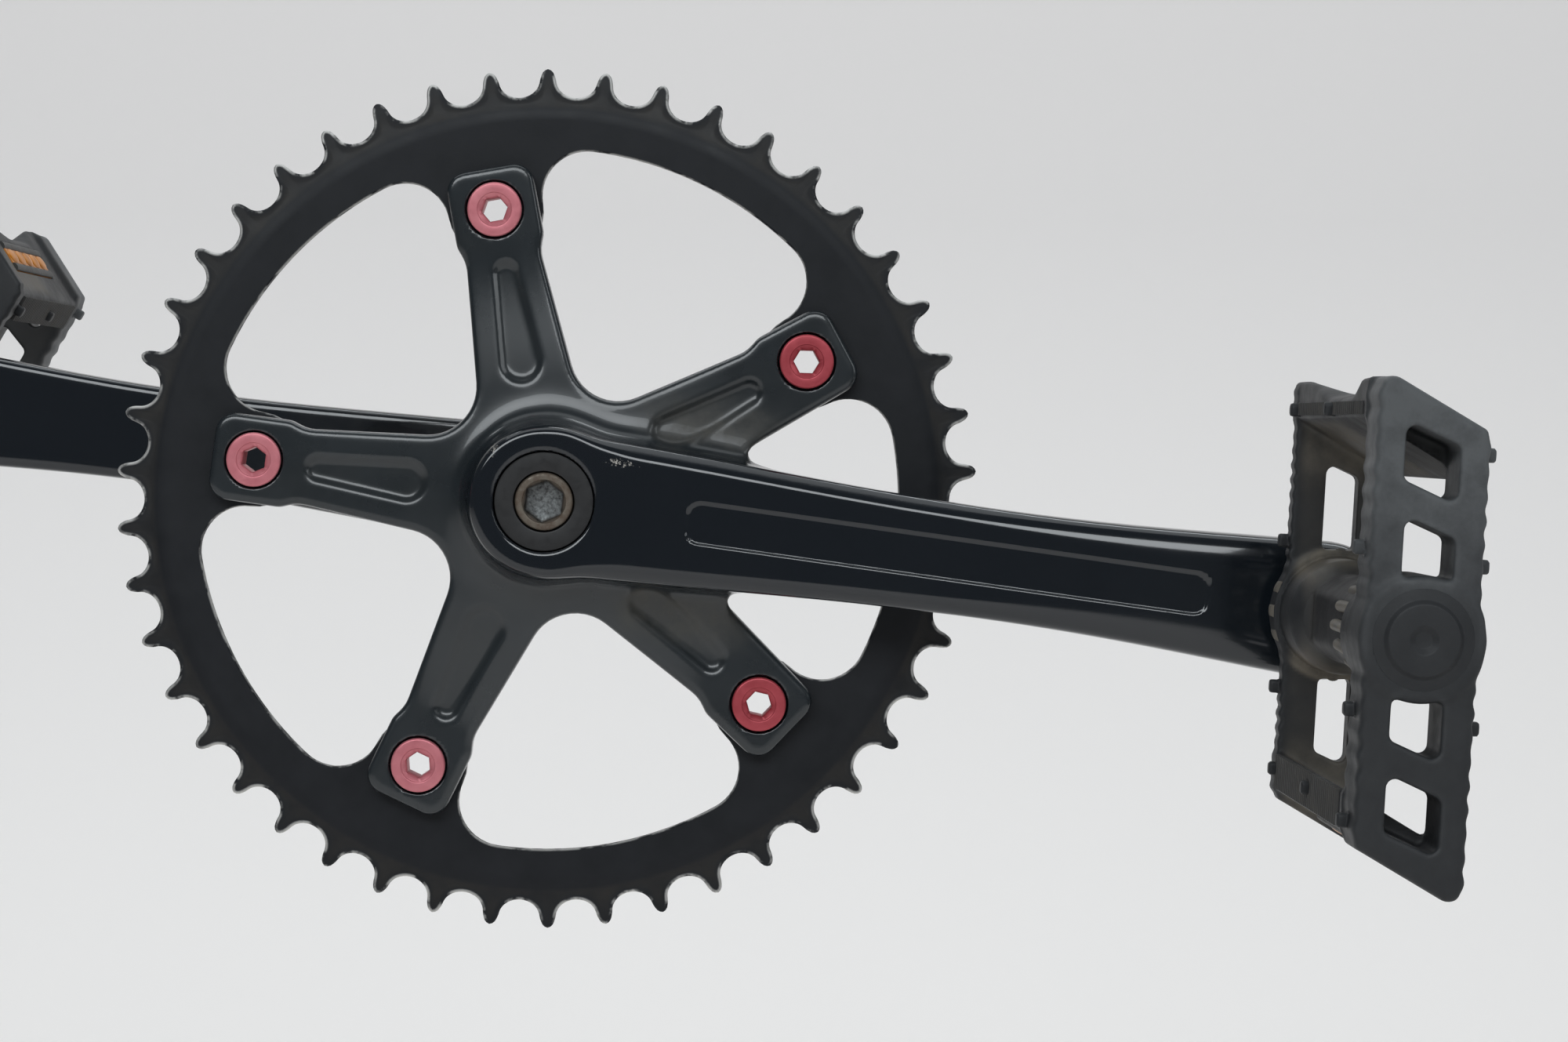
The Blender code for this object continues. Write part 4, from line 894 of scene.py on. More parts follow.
def piece_rows_tree():
    """Geometry Nodes: a piece on a grid of points in x and y."""
    tree = bpy.data.node_groups.new("piece_rows", "GeometryNodeTree")
    tree.interface.new_socket("Rows", in_out="OUTPUT", socket_type="NodeSocketGeometry")
    for name, kind in (("Piece", "NodeSocketObject"), ("Width", "NodeSocketFloat"), ("Length", "NodeSocketFloat"),
                       ("Across", "NodeSocketInt"), ("Along", "NodeSocketInt"), ("Finish", "NodeSocketMaterial")):
        tree.interface.new_socket(name, in_out="INPUT", socket_type=kind)
    nodes, link = tree.nodes, tree.links.new
    given = nodes.new("NodeGroupInput").outputs
    piece = nodes.new("GeometryNodeObjectInfo")
    grid = nodes.new("GeometryNodeMeshGrid")
    copies = nodes.new("GeometryNodeInstanceOnPoints")
    real = nodes.new("GeometryNodeRealizeInstances")
    coat = nodes.new("GeometryNodeSetMaterial")
    result = nodes.new("NodeGroupOutput").inputs
    link(given["Piece"], piece.inputs["Object"])
    link(given["Width"], grid.inputs["Size X"])
    link(given["Length"], grid.inputs["Size Y"])
    link(given["Across"], grid.inputs["Vertices X"])
    link(given["Along"], grid.inputs["Vertices Y"])
    link(grid.outputs["Mesh"], copies.inputs["Points"])
    link(piece.outputs["Geometry"], copies.inputs["Instance"])
    link(copies.outputs[0], real.inputs[0])
    link(real.outputs[0], coat.inputs["Geometry"])
    link(given["Finish"], coat.inputs["Material"])
    link(coat.outputs[0], result["Rows"])
    return tree


PIECE_ROWS = piece_rows_tree()


def rows_of(source, size, counts, finish):
    """Copies of a mesh on a flat grid, in the same local millimetres."""
    row_piece = bpy.data.objects.new("row_piece", source)
    bpy.context.scene.collection.objects.link(row_piece)
    mesh = grown(PIECE_ROWS, Piece=row_piece, Width=size[0], Length=size[1], Across=counts[0], Along=counts[1],
                 Finish=finish)
    bpy.data.objects.remove(row_piece, do_unlink=True)
    return mesh


def joined(*meshes):
    bm = bmesh.new()
    for mesh in meshes:
        bm.from_mesh(mesh)
    mesh = bpy.data.meshes.new("joined")
    bm.to_mesh(mesh)
    bm.free()
    return mesh


def tooth_edge(inset):
    """One pitch as (radius, angle), seat middle to seat middle, drawn in by an inset; tips are narrow."""
    half_pitch = math.pi / TEETH
    edge = []
    for k in range(SEAT_STEPS):
        lean = math.radians(90.0 - 76.0 * k / (SEAT_STEPS - 1))
        x = (SEAT_HALF + inset) * math.cos(lean)
        y = PITCH_RADIUS - (SEAT_DEPTH + inset) * math.sin(lean)
        edge.append((math.hypot(x, y), math.atan2(x, y)))
    for below_tip, half in ((2.1, 1.68), (1.4, 1.45), (0.75, 1.15), (0.25, 0.65), (0.0, 0.0)):
        radius = TOOTH_TIP_RADIUS - inset - below_tip
        edge.append((radius, half_pitch - half * (1.0 - 0.5 * inset) / radius))
    return edge + [(r, 2.0 * half_pitch - a) for r, a in reversed(edge[:-1])]


def half_tooth(radius):
    """Half the thickness of a tooth, which thins towards its tip."""
    return TOOTH_HALF - 0.45 * smoothstep((radius - 91.5) / 4.0)


def tooth_sector():
    """One tooth with its slice of the rim, between two seat middles, open towards the plate."""
    bare, drawn, painted = [tooth_edge(inset) for inset in (0.0, EDGE_EASE, 2.5 * EDGE_EASE)]
    foot = RING_SHOULDER + 0.9
    middle = [(foot + 0.55 * (r - foot), a) for r, a in painted]
    side = [[(r, a, half_tooth(r) - EDGE_EASE) for r, a in bare]]
    side += [[(r, a, half_tooth(r)) for r, a in row] for row in (drawn, painted, middle)]
    side += [[(foot, a, TOOTH_HALF) for _, a in bare],
            [(RING_SHOULDER, a, RING_HALF) for _, a in bare],
            [(PLATE_JOIN, a, RING_HALF) for _, a in bare]]
    rows = [[(r, a, -z) for r, a, z in row] for row in reversed(side)] + side
    points = [(*polar(r, a), CHAINLINE + z) for row in rows for r, a, z in row]
    count = len(bare)
    faces = [(i * count + k, i * count + k + 1, (i + 1) * count + k + 1, (i + 1) * count + k)
             for i in range(len(rows) - 1) for k in range(count - 1)]
    mesh = local_mesh(points, faces)
    worn = [1.0, 0.8] + [0.0] * 5
    add_attribute(mesh, "wear", [w for w in worn[::-1] + worn for _ in range(count)])
    grimy = [0.0, 0.0, 0.2, 1.0, 1.0, 0.0, 0.0]
    add_attribute(mesh, "grime_and_painted_shade", [g for g in grimy[::-1] + grimy for _ in range(count)])
    return mesh


def ring_plate():
    """The chainring's plate with its bolt holes, out to where the toothed rim joins it."""
    bm = bmesh.new()
    half_pitch = math.pi / TEETH
    angles = [2.0 * half_pitch * k + a for k in range(TEETH) for _, a in tooth_edge(0.0)[:-1]]
    outer = [polar(PLATE_JOIN, a) for a in angles]
    holes = [ring_window]
    for angle in BOLT_ANGLES:
        bolt = polar(BOLT_CIRCLE, angle)
        holes.append(lambda inset, c=bolt: arc(c, BOLT_HOLE_RADIUS + inset, 0.0, TURN, 40)[:-1])
    for side in (1.0, -1.0):
        loops = [outer] + [hole(EDGE_EASE) for hole in holes]
        edges = []
        for loop in loops:
            verts = [bm.verts.new((x, y, CHAINLINE + side * RING_HALF)) for x, y in loop]
            edges += [bm.edges.new((verts[k - 1], verts[k])) for k in range(len(verts))]
        bmesh.ops.triangle_fill(bm, edges=edges, use_beauty=True, normal=(0.0, 0.0, side))
    for hole in holes:
        levels = ((EDGE_EASE, RING_HALF), (0.0, RING_HALF - EDGE_EASE), (0.0, EDGE_EASE - RING_HALF),
                  (EDGE_EASE, -RING_HALF))
        rings = [[bm.verts.new((x, y, CHAINLINE + z)) for x, y in hole(inset)] for inset, z in levels]
        for high, low in zip(rings, rings[1:]):
            for k in range(len(high)):
                bm.faces.new((high[k - 1], high[k], low[k], low[k - 1]))
    mesh = bpy.data.meshes.new("ring_plate")
    bm.to_mesh(mesh)
    bm.free()
    heights = np.array([abs(p.co.z - CHAINLINE) for p in mesh.vertices])
    add_attribute(mesh, "wear", 0.75 * (heights < RING_HALF - EDGE_EASE / 2.0))
    add_attribute(mesh, "grime_and_painted_shade", np.zeros(len(heights)))
    return mesh


def make_chainring(finish):
    rim = round_pattern(tooth_sector(), TEETH, finish)
    bm = bmesh.new()
    bm.from_mesh(rim)
    bm.from_mesh(ring_plate())
    bmesh.ops.remove_doubles(bm, verts=bm.verts, dist=0.002)
    bmesh.ops.recalc_face_normals(bm, faces=bm.faces)
    bm.to_mesh(rim)
    bm.free()
    show("chainring_46", settled(rim, CRANK), finish, "crankset", "ring_black", "chainring")


def ring_window(inset):
    """Inner edge of the chainring plate: arcs between bolt tabs, with rounded corners, moved out by an inset."""
    reach = RING_INNER_RADIUS - RING_FILLET
    span = RING_FILLET + RING_TAB_RADIUS
    corner = math.acos((reach ** 2 + BOLT_CIRCLE ** 2 - span ** 2) / (2.0 * reach * BOLT_CIRCLE))
    outline = []
    for angle in BOLT_ANGLES:
        bolt = polar(BOLT_CIRCLE, angle)
        before = polar(reach, angle - corner)
        after = polar(reach, angle + corner)
        lean = math.atan2(bolt[1] - before[1], bolt[0] - before[0])
        back = math.atan2(bolt[1] - after[1], bolt[0] - after[0])
        turn_in = (lean - (angle - corner) + math.pi) % TURN - math.pi
        turn_out = ((angle + corner) - back + math.pi) % TURN - math.pi
        inward = (lean + math.pi - angle) % TURN
        outward = (back + math.pi - angle) % TURN
        rim = RING_INNER_RADIUS + inset
        outline += arc((0.0, 0.0), rim, angle - math.pi / BOLT_COUNT, angle - corner, 10)[:-1]
        outline += arc(before, RING_FILLET + inset, angle - corner, angle - corner + turn_in, 14)
        outline += arc(bolt, RING_TAB_RADIUS - inset, angle + inward, angle + outward, 16)[1:-1]
        outline += arc(after, RING_FILLET + inset, back, back + turn_out, 14)
        outline += arc((0.0, 0.0), rim, angle + corner, angle + math.pi / BOLT_COUNT, 10)[1:-1]
    return outline


def make_chainring_bolts(finish):
    """Five hollow bolts with hex keys, and the sleeve nuts behind the ring with their tool slots."""
    nut_back = CHAINLINE - RING_HALF - 0.3
    head = HEAD_SEAT_Z + 0.3
    top = TAB_FRONT + 0.6
    key = 2.5
    outside = eased([(3.7, top, 0.3), (BOLT_HEAD_RADIUS, top, 0.5), (BOLT_HEAD_RADIUS, head, 0.15),
                     (3.9, head, 0.0), (3.9, nut_back + 0.5, 0.2), (3.3, nut_back + 0.5, 0.0)])
    socket = [(key, nut_back + 0.5, 6), (key, top - 1.1, 6), (key + 0.1, top - 0.95, 6), (2.95, top - 0.65)]
    points, faces = lathe(outside + socket, 48)
    bolt = [Vector(p) + Vector((BOLT_CIRCLE, 0.0, 0.0)) for p in points]
    first = [Matrix.Rotation(FIRST_BOLT, 3, "Z") @ p for p in bolt]
    mesh = settled(round_pattern(local_mesh(first, faces), BOLT_COUNT, finish), CRANK)
    add_attribute(mesh, "fade_and_painted_light", [smoothstep((0.02 - p.co.x) / 0.02) for p in mesh.vertices])
    names = [f"chainring_bolt_{k + 1}" for k in range(BOLT_COUNT)]
    show("chainring_bolts", mesh, finish, "crankset", "red_anodised", *names)
    nut = eased([(4.9, head - 0.6, 0.15), (4.9, nut_back, 0.0), (6.3, nut_back, 0.25), (6.3, nut_back - 1.3, 0.35),
                 (4.3, nut_back - 1.3, 0.2), (4.3, head - 0.6, 0.0)])
    points, faces = lathe(nut, 48)
    slotted = []
    for x, y, z in points:
        in_slot = abs(y) < 0.9 and z < nut_back - 0.9
        slotted.append(Vector((x + BOLT_CIRCLE, y, z + (0.55 if in_slot else 0.0))))
    first = [Matrix.Rotation(FIRST_BOLT, 3, "Z") @ p for p in slotted]
    mesh = settled(round_pattern(local_mesh(first, faces), BOLT_COUNT, finish), CRANK)
    names = [f"chainring_nut_{k + 1}" for k in range(BOLT_COUNT)]
    show("chainring_nuts", mesh, finish, "crankset", "red_anodised", *names)


def make_crank_bolts(steel, black):
    """Hex bolt and threaded extractor ring in each boss."""
    top = BOSS_FRONT - 1.4
    flange = BOLT_SEAT_Z + 0.3
    key = 4.0
    head = eased([(4.75, top, 0.2), (6.3, top, 0.6), (6.3, flange + 1.5, 0.3), (10.0, flange + 1.5, 0.3),
                  (10.0, flange, 0.3), (4.0, flange, 0.0), (4.0, 41.0, 0.4), (0.0, 41.0, 0.0)])
    socket = [(0.0, top - 4.6), (key - 0.5, top - 4.5, 6), (key, top - 4.3, 6), (key, top - 0.75, 6), (4.6, top - 0.3)]
    bolt = lathe(head + socket, 60)
    x, y, z = np.array(bolt[0]).T
    # The walls of the key carry painted shade; its floor is bare grey metal
    key_wall = (np.hypot(x, y) < 4.7) & (z > top - 5.0) & (z < top - 0.5)
    key_floor = key_wall & (z < top - 4.4)
    ring = lathe(eased([(10.75, top, 0.2), (10.85, top - 0.6, 0.1), (10.85, flange + 1.8, 0.2),
                        (6.6, flange + 1.8, 0.2), (6.6, top, 0.3)]), 96)
    for side, place in (("drive", CRANK), ("left", CRANK_LEFT)):
        mesh = placed_mesh(f"{side}_crank_bolt", *bolt, place)
        add_attribute(mesh, "grime_and_painted_shade", 1.0 * key_wall)
        add_attribute(mesh, "bare", 1.0 * key_floor)
        show(f"{side}_hex_bolt", mesh, steel, "crankset", "bolt_steel", f"{side}_crank_bolt")
        mesh = placed_mesh(f"{side}_extractor_ring", *ring, place)
        show(f"{side}_extractor", mesh, black, "crankset", "ring_black", f"{side}_extractor_ring")


def pedal_outline(drop=0.0, inset=0.0):
    """Leaning four-sided section of the pedal, the same turned half round about the axle."""
    half = PEDAL_HALF - inset
    top, low = PEDAL_TOP - drop, PEDAL_LOW - drop
    return [(-half, top), (-half, -low), (half, -top), (half, low)]


PEDAL_PLATE = rounded([(v, u, 3.0) for v, u in pedal_outline()])
OUTER_WINDOWS = [[(-5.3, 40.5), (-5.3, 29.6), (5.0, 25.4), (5.0, 36.3)],
                 [(-4.6, 22.8), (-4.6, 10.2), (5.0, 10.2), (5.0, 19.0)]]
INNER_WINDOW = [(-3.9, 32.0), (-3.9, 13.0), (3.0, 13.0), (3.0, 29.2)]
# Grip lugs along the edges, as (u, z), on the side towards +v; half a turn gives the rest
GRIP_LUGS = [(35.0, 99.0), (14.0, 99.0), (-16.5, 99.0), (-15.0, 9.75), (16.0, 9.75), (33.0, 15.0),
             (33.0, 57.0), (-42.6, 15.0), (-42.6, 57.0)]
WALL_MIDDLE_Z = (INNER_PLATE[1] + OUTER_PLATE[0]) / 2.0
# Lengths over which the walls rise into the inner and the outer plate
HORNS = (42.0, 20.0)
# Ribs round the bosses, as foot radius, low z, high z, count, width and height
BOSS_RIBS = [(13.3, 7.2, 12.7, 16, 2.6, 0.8), (8.9, 62.0, 88.0, 14, 2.3, 2.6)]
WALL_RIBS = 34
WALL_RIB_PITCH = 2.2
PEDAL_STEP = 0.62


def half_turn(points):
    return [(-v, -u) for v, u in points]


def window_field(v, u, corners):
    outline = rounded([(*corner, 1.7) for corner in corners])
    return np.minimum(outline_distance(v, u, outline), outline_distance(v, u, half_turn(outline)))


def slab(z, low, high):
    return np.maximum(low - z, z - high)


def wall_lean():
    """Lean of the end walls across the pedal, and the height of their middle."""
    top_left, _, _, top_right = pedal_outline(WALL_DROP, WALL_INSET)
    lean = math.atan2(top_right[1] - top_left[1], top_right[0] - top_left[0])
    return lean, (top_left[1] + top_right[1]) / 2.0


def wall_field(v, u, z):
    """The upper end wall, its high corner cut down between horns that rise into the plates."""
    top_left, _, _, top_right = pedal_outline(WALL_DROP, WALL_INSET)
    under = [(a, b - WALL_THICKNESS) for a, b in (top_left, top_right)]
    strip = outline_distance(v, u, rounded([(*p, 0.8) for p in (top_left, *under, top_right)]))
    across, below = WALL_CORNER
    slope = below / across - math.tan(-wall_lean()[0])
    inner_horn, outer_horn = HORNS
    near_plate = np.maximum(smoothstep((INNER_PLATE[1] + inner_horn - z) / inner_horn),
                            smoothstep((z - OUTER_PLATE[0] + outer_horn) / outer_horn))
    level = top_left[1] - below + slope * (v - top_left[0]) + (below + 1.0) * near_plate
    strip = meet(strip, (u - level) / math.hypot(1.0, slope), 1.2)
    return np.maximum(strip, slab(z, INNER_PLATE[0] + 1.0, OUTER_PLATE[0] + 2.0))


def barrel_field(v, u, z):
    """Tube round the axle, swollen at both ends, with a flat on both sides that the foot rests on."""
    swell_end, start, end, swell_start = BARREL_Z
    swell = np.maximum(smoothstep((start - z) / (start - swell_end)), smoothstep((z - end) / (swell_start - end)))
    radius = np.hypot(v, u)
    tube = radius - BARREL_RADIUS - (PEDAL_BOSS_RADIUS - BARREL_RADIUS) * swell
    flat_low, flat_high = BARREL_FLAT_Z
    beside_flat = np.maximum(smoothstep((flat_low - z) / 1.5), smoothstep((z - flat_high) / 5.0))
    tube = meet(tube, np.abs(v) - BARREL_FLAT - 5.0 * beside_flat, 0.6)
    tube = meet(tube, slab(z, INNER_PLATE[0], OUTER_PLATE[1] + 0.6), 1.2)
    inner_boss = meet(radius - INNER_BOSS_RADIUS, slab(z, INNER_PLATE[0] - 0.4, INNER_BOSS_END), 0.7)
    return np.minimum(tube, inner_boss)


def pedal_field(v, u, z):
    """Moulded pedal: two end plates, two leaning walls, and a barrel between bosses."""
    plan = outline_distance(v, u, PEDAL_PLATE)
    edge = smoothstep((np.abs(v) - 9.0) / 1.5)
    uneven = 0.7 + 0.3 * np.cos(u * 0.37 + v)
    scallop = 0.24 * np.cos(u * TURN / 4.5) * edge * uneven
    teeth = 0.24 * np.cos(u * TURN / 3.1) * edge * uneven
    outer = meet(plan - scallop + 0.3, slab(z, *OUTER_PLATE), 1.6)
    outer = carve(outer, np.minimum(*[window_field(v, u, w) for w in OUTER_WINDOWS]), 0.8)
    inner = meet(plan - teeth + 0.3, slab(z, *INNER_PLATE), 0.8)
    inner = carve(inner, window_field(v, u, INNER_WINDOW), 0.6)
    body = np.minimum(outer, inner)
    body = blend(body, np.minimum(wall_field(v, u, z), wall_field(-v, -u, z)), 1.2)
    body = blend(body, barrel_field(v, u, z), 1.4)
    half = PIN_WIDTH / 2.0
    for lug_u, lug_z in GRIP_LUGS:
        for turn in (1.0, -1.0):
            reach = meet(np.abs(u - turn * lug_u) - half, np.abs(z - lug_z) - half, 0.7)
            tall = np.maximum(turn * v - PEDAL_HALF - PIN_HEIGHT, 6.0 - turn * v)
            body = np.minimum(body, meet(reach, tall, 0.5))
    radius = np.hypot(v, u)
    bore = np.minimum(np.maximum(radius - 9.0, 83.7 - z), radius - 5.6)
    bore = np.minimum(bore, np.maximum(radius - 8.0, z - 28.3))
    body = carve(body, bore, 0.3)
    lean, middle = wall_lean()
    width, _, length = REFLECTOR_SIZE
    for turn in (1.0, -1.0):
        across = (turn * v) * math.cos(lean) + (turn * u - middle) * math.sin(lean)
        out = (turn * u - middle) * math.cos(lean) - (turn * v) * math.sin(lean)
        room = np.maximum(np.abs(across) - width / 2.0, np.abs(z - WALL_MIDDLE_Z) - length / 2.0) - 0.3
        body = carve(body, np.maximum(room, -out - REFLECTOR_SUNK - 0.3), 0.3)
    return body


def make_pedal_bodies(finish):
    side, top = PEDAL_HALF + 3.0, PEDAL_TOP + 1.5
    out = grid_lines(INNER_PLATE[0] - 1.5, (32.0, PEDAL_STEP), (88.0, 0.8), (OUTER_PLATE[1] + 2.0, PEDAL_STEP))
    across, up = grid_lines(-side, (side, PEDAL_STEP)), grid_lines(-top, (top, PEDAL_STEP))
    points, quads, normals = net_of(pedal_field, across, up, out)
    v, u, z = points.T
    between = smoothstep((z - INNER_PLATE[0] - 1.5) / 3.0) * smoothstep((OUTER_PLATE[0] + 4.0 - z) / 6.0)
    sheltered = smoothstep((10.6 - np.abs(v)) / 3.0) * smoothstep((46.0 - np.abs(u)) / 3.0)
    near_boss = smoothstep((31.0 - z) / 8.0) * smoothstep((15.0 - np.hypot(v, u)) / 1.5)
    under_wall = smoothstep((np.abs(u) - 24.0) / 10.0) * smoothstep((66.0 - z) / 12.0)
    dust = between * sheltered * np.clip(0.12 + near_boss + 0.5 * under_wall, 0.0, 1.0)
    # Painted shade: near black on the barrel between the plates, in the gaps between its ribs, and on the inner faces
    # of the end walls
    painted_shade = smoothstep((10.5 - np.hypot(v, u)) / 1.5) * smoothstep((z - 31.0) / 4.0) * smoothstep((84.0 - z) / 4.0)
    inside_wall = smoothstep((np.abs(u) - 32.0) / 6.0) * sheltered * between * smoothstep((z - 48.0) / 14.0)
    painted_shade = np.maximum(painted_shade, 0.9 * inside_wall)
    on_outer = smoothstep((z - OUTER_PLATE[0]) / 6.0)
    # Painted light: the outer plate is made greyer towards its top, where light from above falls
    higher = smoothstep((u + 10.0) / 52.0)
    rim = np.abs(outline_distance(v, u, PEDAL_PLATE))
    for window in OUTER_WINDOWS:
        rim = np.minimum(rim, np.abs(window_field(v, u, window)))
    # Rims of the outer plate and its windows: partly scuffs, partly a painted highlight, brighter towards the top
    scuffed_and_lit_rims = smoothstep(1.0 - rim / 1.5) * smoothstep((z - 99.0) / 5.0) * (0.3 + 0.7 * higher)
    fade_and_painted_light = np.clip(0.12 + on_outer * (0.8 * higher + 0.02) + 0.35 * scuffed_and_lit_rims, 0.0, 1.0)
    for side, place, hand in PEDALS:
        mesh = placed_mesh(f"{side}_pedal_body", points, quads, place @ hand, normals)
        add_attribute(mesh, "dust", dust)
        add_attribute(mesh, "painted_shade", painted_shade)
        add_attribute(mesh, "fade_and_painted_light", fade_and_painted_light)
        show(f"{side}_platform", mesh, finish, f"{side}_pedal", "pedal_plastic", f"{side}_pedal_body")


RIB_SUNK = 0.4


def rib(length, width, height, start=1.0):
    """A low rib with a rounded back: x along it, y across, z up from its foot, its middle at the origin.

    Start is the share of the height at its near end.
    """
    back = arc((0.0, 0.0), 1.0, 0.0, math.pi, 8)
    section = [(-width / 2.0, -RIB_SUNK), (width / 2.0, -RIB_SUNK)]
    section += [(y * width / 2.0, z * height) for y, z in back]
    count = len(section)
    ends = ((-length / 2.0, start), (length / 2.0, 1.0))
    points = [(x, y, z * share if z > 0.0 else z) for x, share in ends for y, z in section]
    faces = [(k, (k + 1) % count, count + (k + 1) % count, count + k) for k in range(count)]
    faces += [tuple(reversed(range(count))), tuple(range(count, 2 * count))]
    return points, faces


def moved(piece, place):
    points, faces = piece
    return local_mesh([place @ Vector(p) for p in points], faces)


def make_pedal_ribs(finish):
    """Ribs round both bosses of a pedal, fine ribs on the sides of its end walls, and the reflectors' bezels."""
    stood = Matrix(((0.0, 0.0, 1.0, 0.0), (0.0, -1.0, 0.0, 0.0), (1.0, 0.0, 0.0, 0.0), (0.0, 0.0, 0.0, 1.0)))
    pieces = []
    for radius, low, high, count, width, height in BOSS_RIBS:
        seat = Matrix.Translation((radius, 0.0, (low + high) / 2.0)) @ stood
        pieces.append(round_pattern(moved(rib(high - low, width, height, 0.4), seat), count, finish))
    upright_ribs = Matrix(((0.0, 0.0, 1.0, 0.0), (1.0, 0.0, 0.0, 0.0), (0.0, 1.0, 0.0, 0.0), (0.0, 0.0, 0.0, 1.0)))
    _, _, (v, top), (_, low_top) = pedal_outline(WALL_DROP, WALL_INSET)
    faces = ((top + WALL_CORNER[1], top + WALL_THICKNESS), (low_top - WALL_THICKNESS, low_top))
    for low, high in faces:
        source = local_mesh(*rib(high - low - 1.0, 1.3, 0.8))
        rows = rows_of(source, (0.0, WALL_RIB_PITCH * (WALL_RIBS - 1)), (1, WALL_RIBS), finish)
        rows.transform(Matrix.Translation((v, (low + high) / 2.0, WALL_MIDDLE_Z)) @ upright_ribs)
        turned = rows.copy()
        turned.transform(Matrix.Rotation(math.pi, 4, "Z"))
        pieces += [rows, turned]
    lean, middle = wall_lean()
    along, across, out = (0.0, 0.0, 1.0), (math.cos(lean), math.sin(lean), 0.0), (-math.sin(lean), math.cos(lean), 0.0)
    wall_axes = Matrix((along, across, out)).transposed().to_4x4()
    width, thickness, length = REFLECTOR_SIZE
    for end in (0.0, math.pi):
        seat = Matrix.Rotation(end, 4, "Z") @ Matrix.Translation((0.0, middle, WALL_MIDDLE_Z)) @ wall_axes
        for side in (1.0, -1.0):
            edge = Matrix.Translation((0.0, side * (width - BEZEL_WIDTH) / 2.0, thickness - LENS_RISE - REFLECTOR_SUNK))
            pieces.append(moved(rib(length, BEZEL_WIDTH, BEZEL_HEIGHT), seat @ edge))
    ribs = joined(*pieces)
    on_boss = np.array([p.co.xy.length < 2.0 * PEDAL_HALF for p in ribs.vertices])
    add_attribute(ribs, "dust", np.where(on_boss, 0.9, 0.2))
    add_attribute(ribs, "fade_and_painted_light", np.where(on_boss, 0.6, 0.25))
    for side, place, hand in PEDALS:
        mesh = settled(ribs.copy(), place @ hand)
        show(f"{side}_pedal_ribs", mesh, finish, f"{side}_pedal", "pedal_plastic")


def reflector_mesh(finish):
    """Amber block with a bevelled rim and a row of domed lenses on its face; x across, y out, z along."""
    width, thickness, length = REFLECTOR_SIZE
    block_height = thickness - LENS_RISE
    bm = bmesh.new()
    bmesh.ops.create_cube(bm, size=1.0)
    bmesh.ops.scale(bm, verts=bm.verts, vec=(width, length, block_height))
    bmesh.ops.translate(bm, verts=bm.verts, vec=(0.0, 0.0, block_height / 2.0 - REFLECTOR_SUNK))
    bmesh.ops.bevel(bm, geom=list(bm.edges), offset=0.35, segments=3, affect="EDGES", profile=0.5)
    block = bpy.data.meshes.new("reflector_block")
    bm.to_mesh(block)
    bm.free()
    pitch = (length - 1.6) / LENS_COUNT
    dome = [(0.0, LENS_RISE)] + [(math.sin(t), LENS_RISE * math.cos(t)) for t in LENS_STEPS] + [(1.0, -0.3), (0.0, -0.3)]
    points, faces = lathe(dome, 28)
    lens = local_mesh([(x * (width / 2.0 - BEZEL_WIDTH), y * pitch * 0.49, z) for x, y, z in points], faces)
    lenses = rows_of(lens, (0.0, pitch * (LENS_COUNT - 1)), (1, LENS_COUNT), finish)
    lenses.transform(Matrix.Translation((0.0, 0.0, block_height - REFLECTOR_SUNK)))
    mesh = joined(block, lenses)
    mesh.transform(Matrix.Rotation(-math.pi / 2.0, 4, "X"))
    return mesh


def make_reflectors(finish):
    lean, middle = wall_lean()
    for side, place, hand in PEDALS:
        for end, turn in (("front", 0.0), ("rear", math.pi)):
            seat = Matrix.Rotation(turn, 4, "Z") @ Matrix.Translation((0.0, middle, WALL_MIDDLE_Z))
            mesh = settled(reflector_mesh(finish), place @ hand @ seat @ Matrix.Rotation(lean, 4, "Z"))
            show(f"{side}_{end}_lens", mesh, finish, f"{side}_pedal", "amber", f"{side}_pedal_{end}_reflector")


def make_pedal_axles(steel, plastic):
    """Axle with wrench flats, and the end cap with its dimple."""
    axle = eased([(0.0, 99.5, 0.0), (3.5, 99.5, 0.4), (3.5, 82.0, 0.0), (4.8, 80.0, 0.4), (4.8, 28.0, 0.4),
                  (6.0, 26.6, 0.4), (6.0, 6.2, 0.0), (8.6, 6.2, 0.3), (8.6, 2.6, 0.0), (9.2, 2.6, 0.3),
                  (9.2, 0.3, 0.3), (7.0, 0.3, 0.0), (7.0, -12.0, 0.6)])
    key = [(3.4, -12.0), (3.0, -11.6, 6), (3.0, -6.2, 6), (2.6, -6.0, 6), (0.0, -6.0)]
    points, faces = lathe(axle + key, 60)
    flats = []
    for x, y, z in points:
        on_hex = 2.7 < z < 6.1 and abs(x) > 7.4
        flats.append((math.copysign(7.4, x) if on_hex else x, y, z))
    cap = eased([(0.0, 107.0, 0.0), (1.6, 107.1, 0.5), (2.8, 107.9, 0.5), (6.7, 107.9, 0.6), (7.5, 106.95, 0.4),
                 (9.6, 106.8, 0.1), (9.6, 106.5, 0.0), (8.7, 106.4, 0.0), (8.7, 101.0, 0.3), (7.4, 101.0, 0.3), (7.4, 104.6, 0.4), (0.0, 104.6, 0.0)])
    for side, place in (("right", RIGHT_PEDAL), ("left", LEFT_PEDAL)):
        mesh = placed_mesh(f"{side}_pedal_axle", flats, faces, place)
        show(f"{side}_axle", mesh, steel, "crankset", "bright_steel", f"{side}_pedal_axle")
        mesh = placed_mesh(f"{side}_end_cap", *lathe(cap, 64), place)
        add_attribute(mesh, "fade_and_painted_light", np.full(len(mesh.vertices), 0.12))
        show(f"{side}_cap", mesh, plastic, f"{side}_pedal", "pedal_plastic", f"{side}_pedal_end_cap")


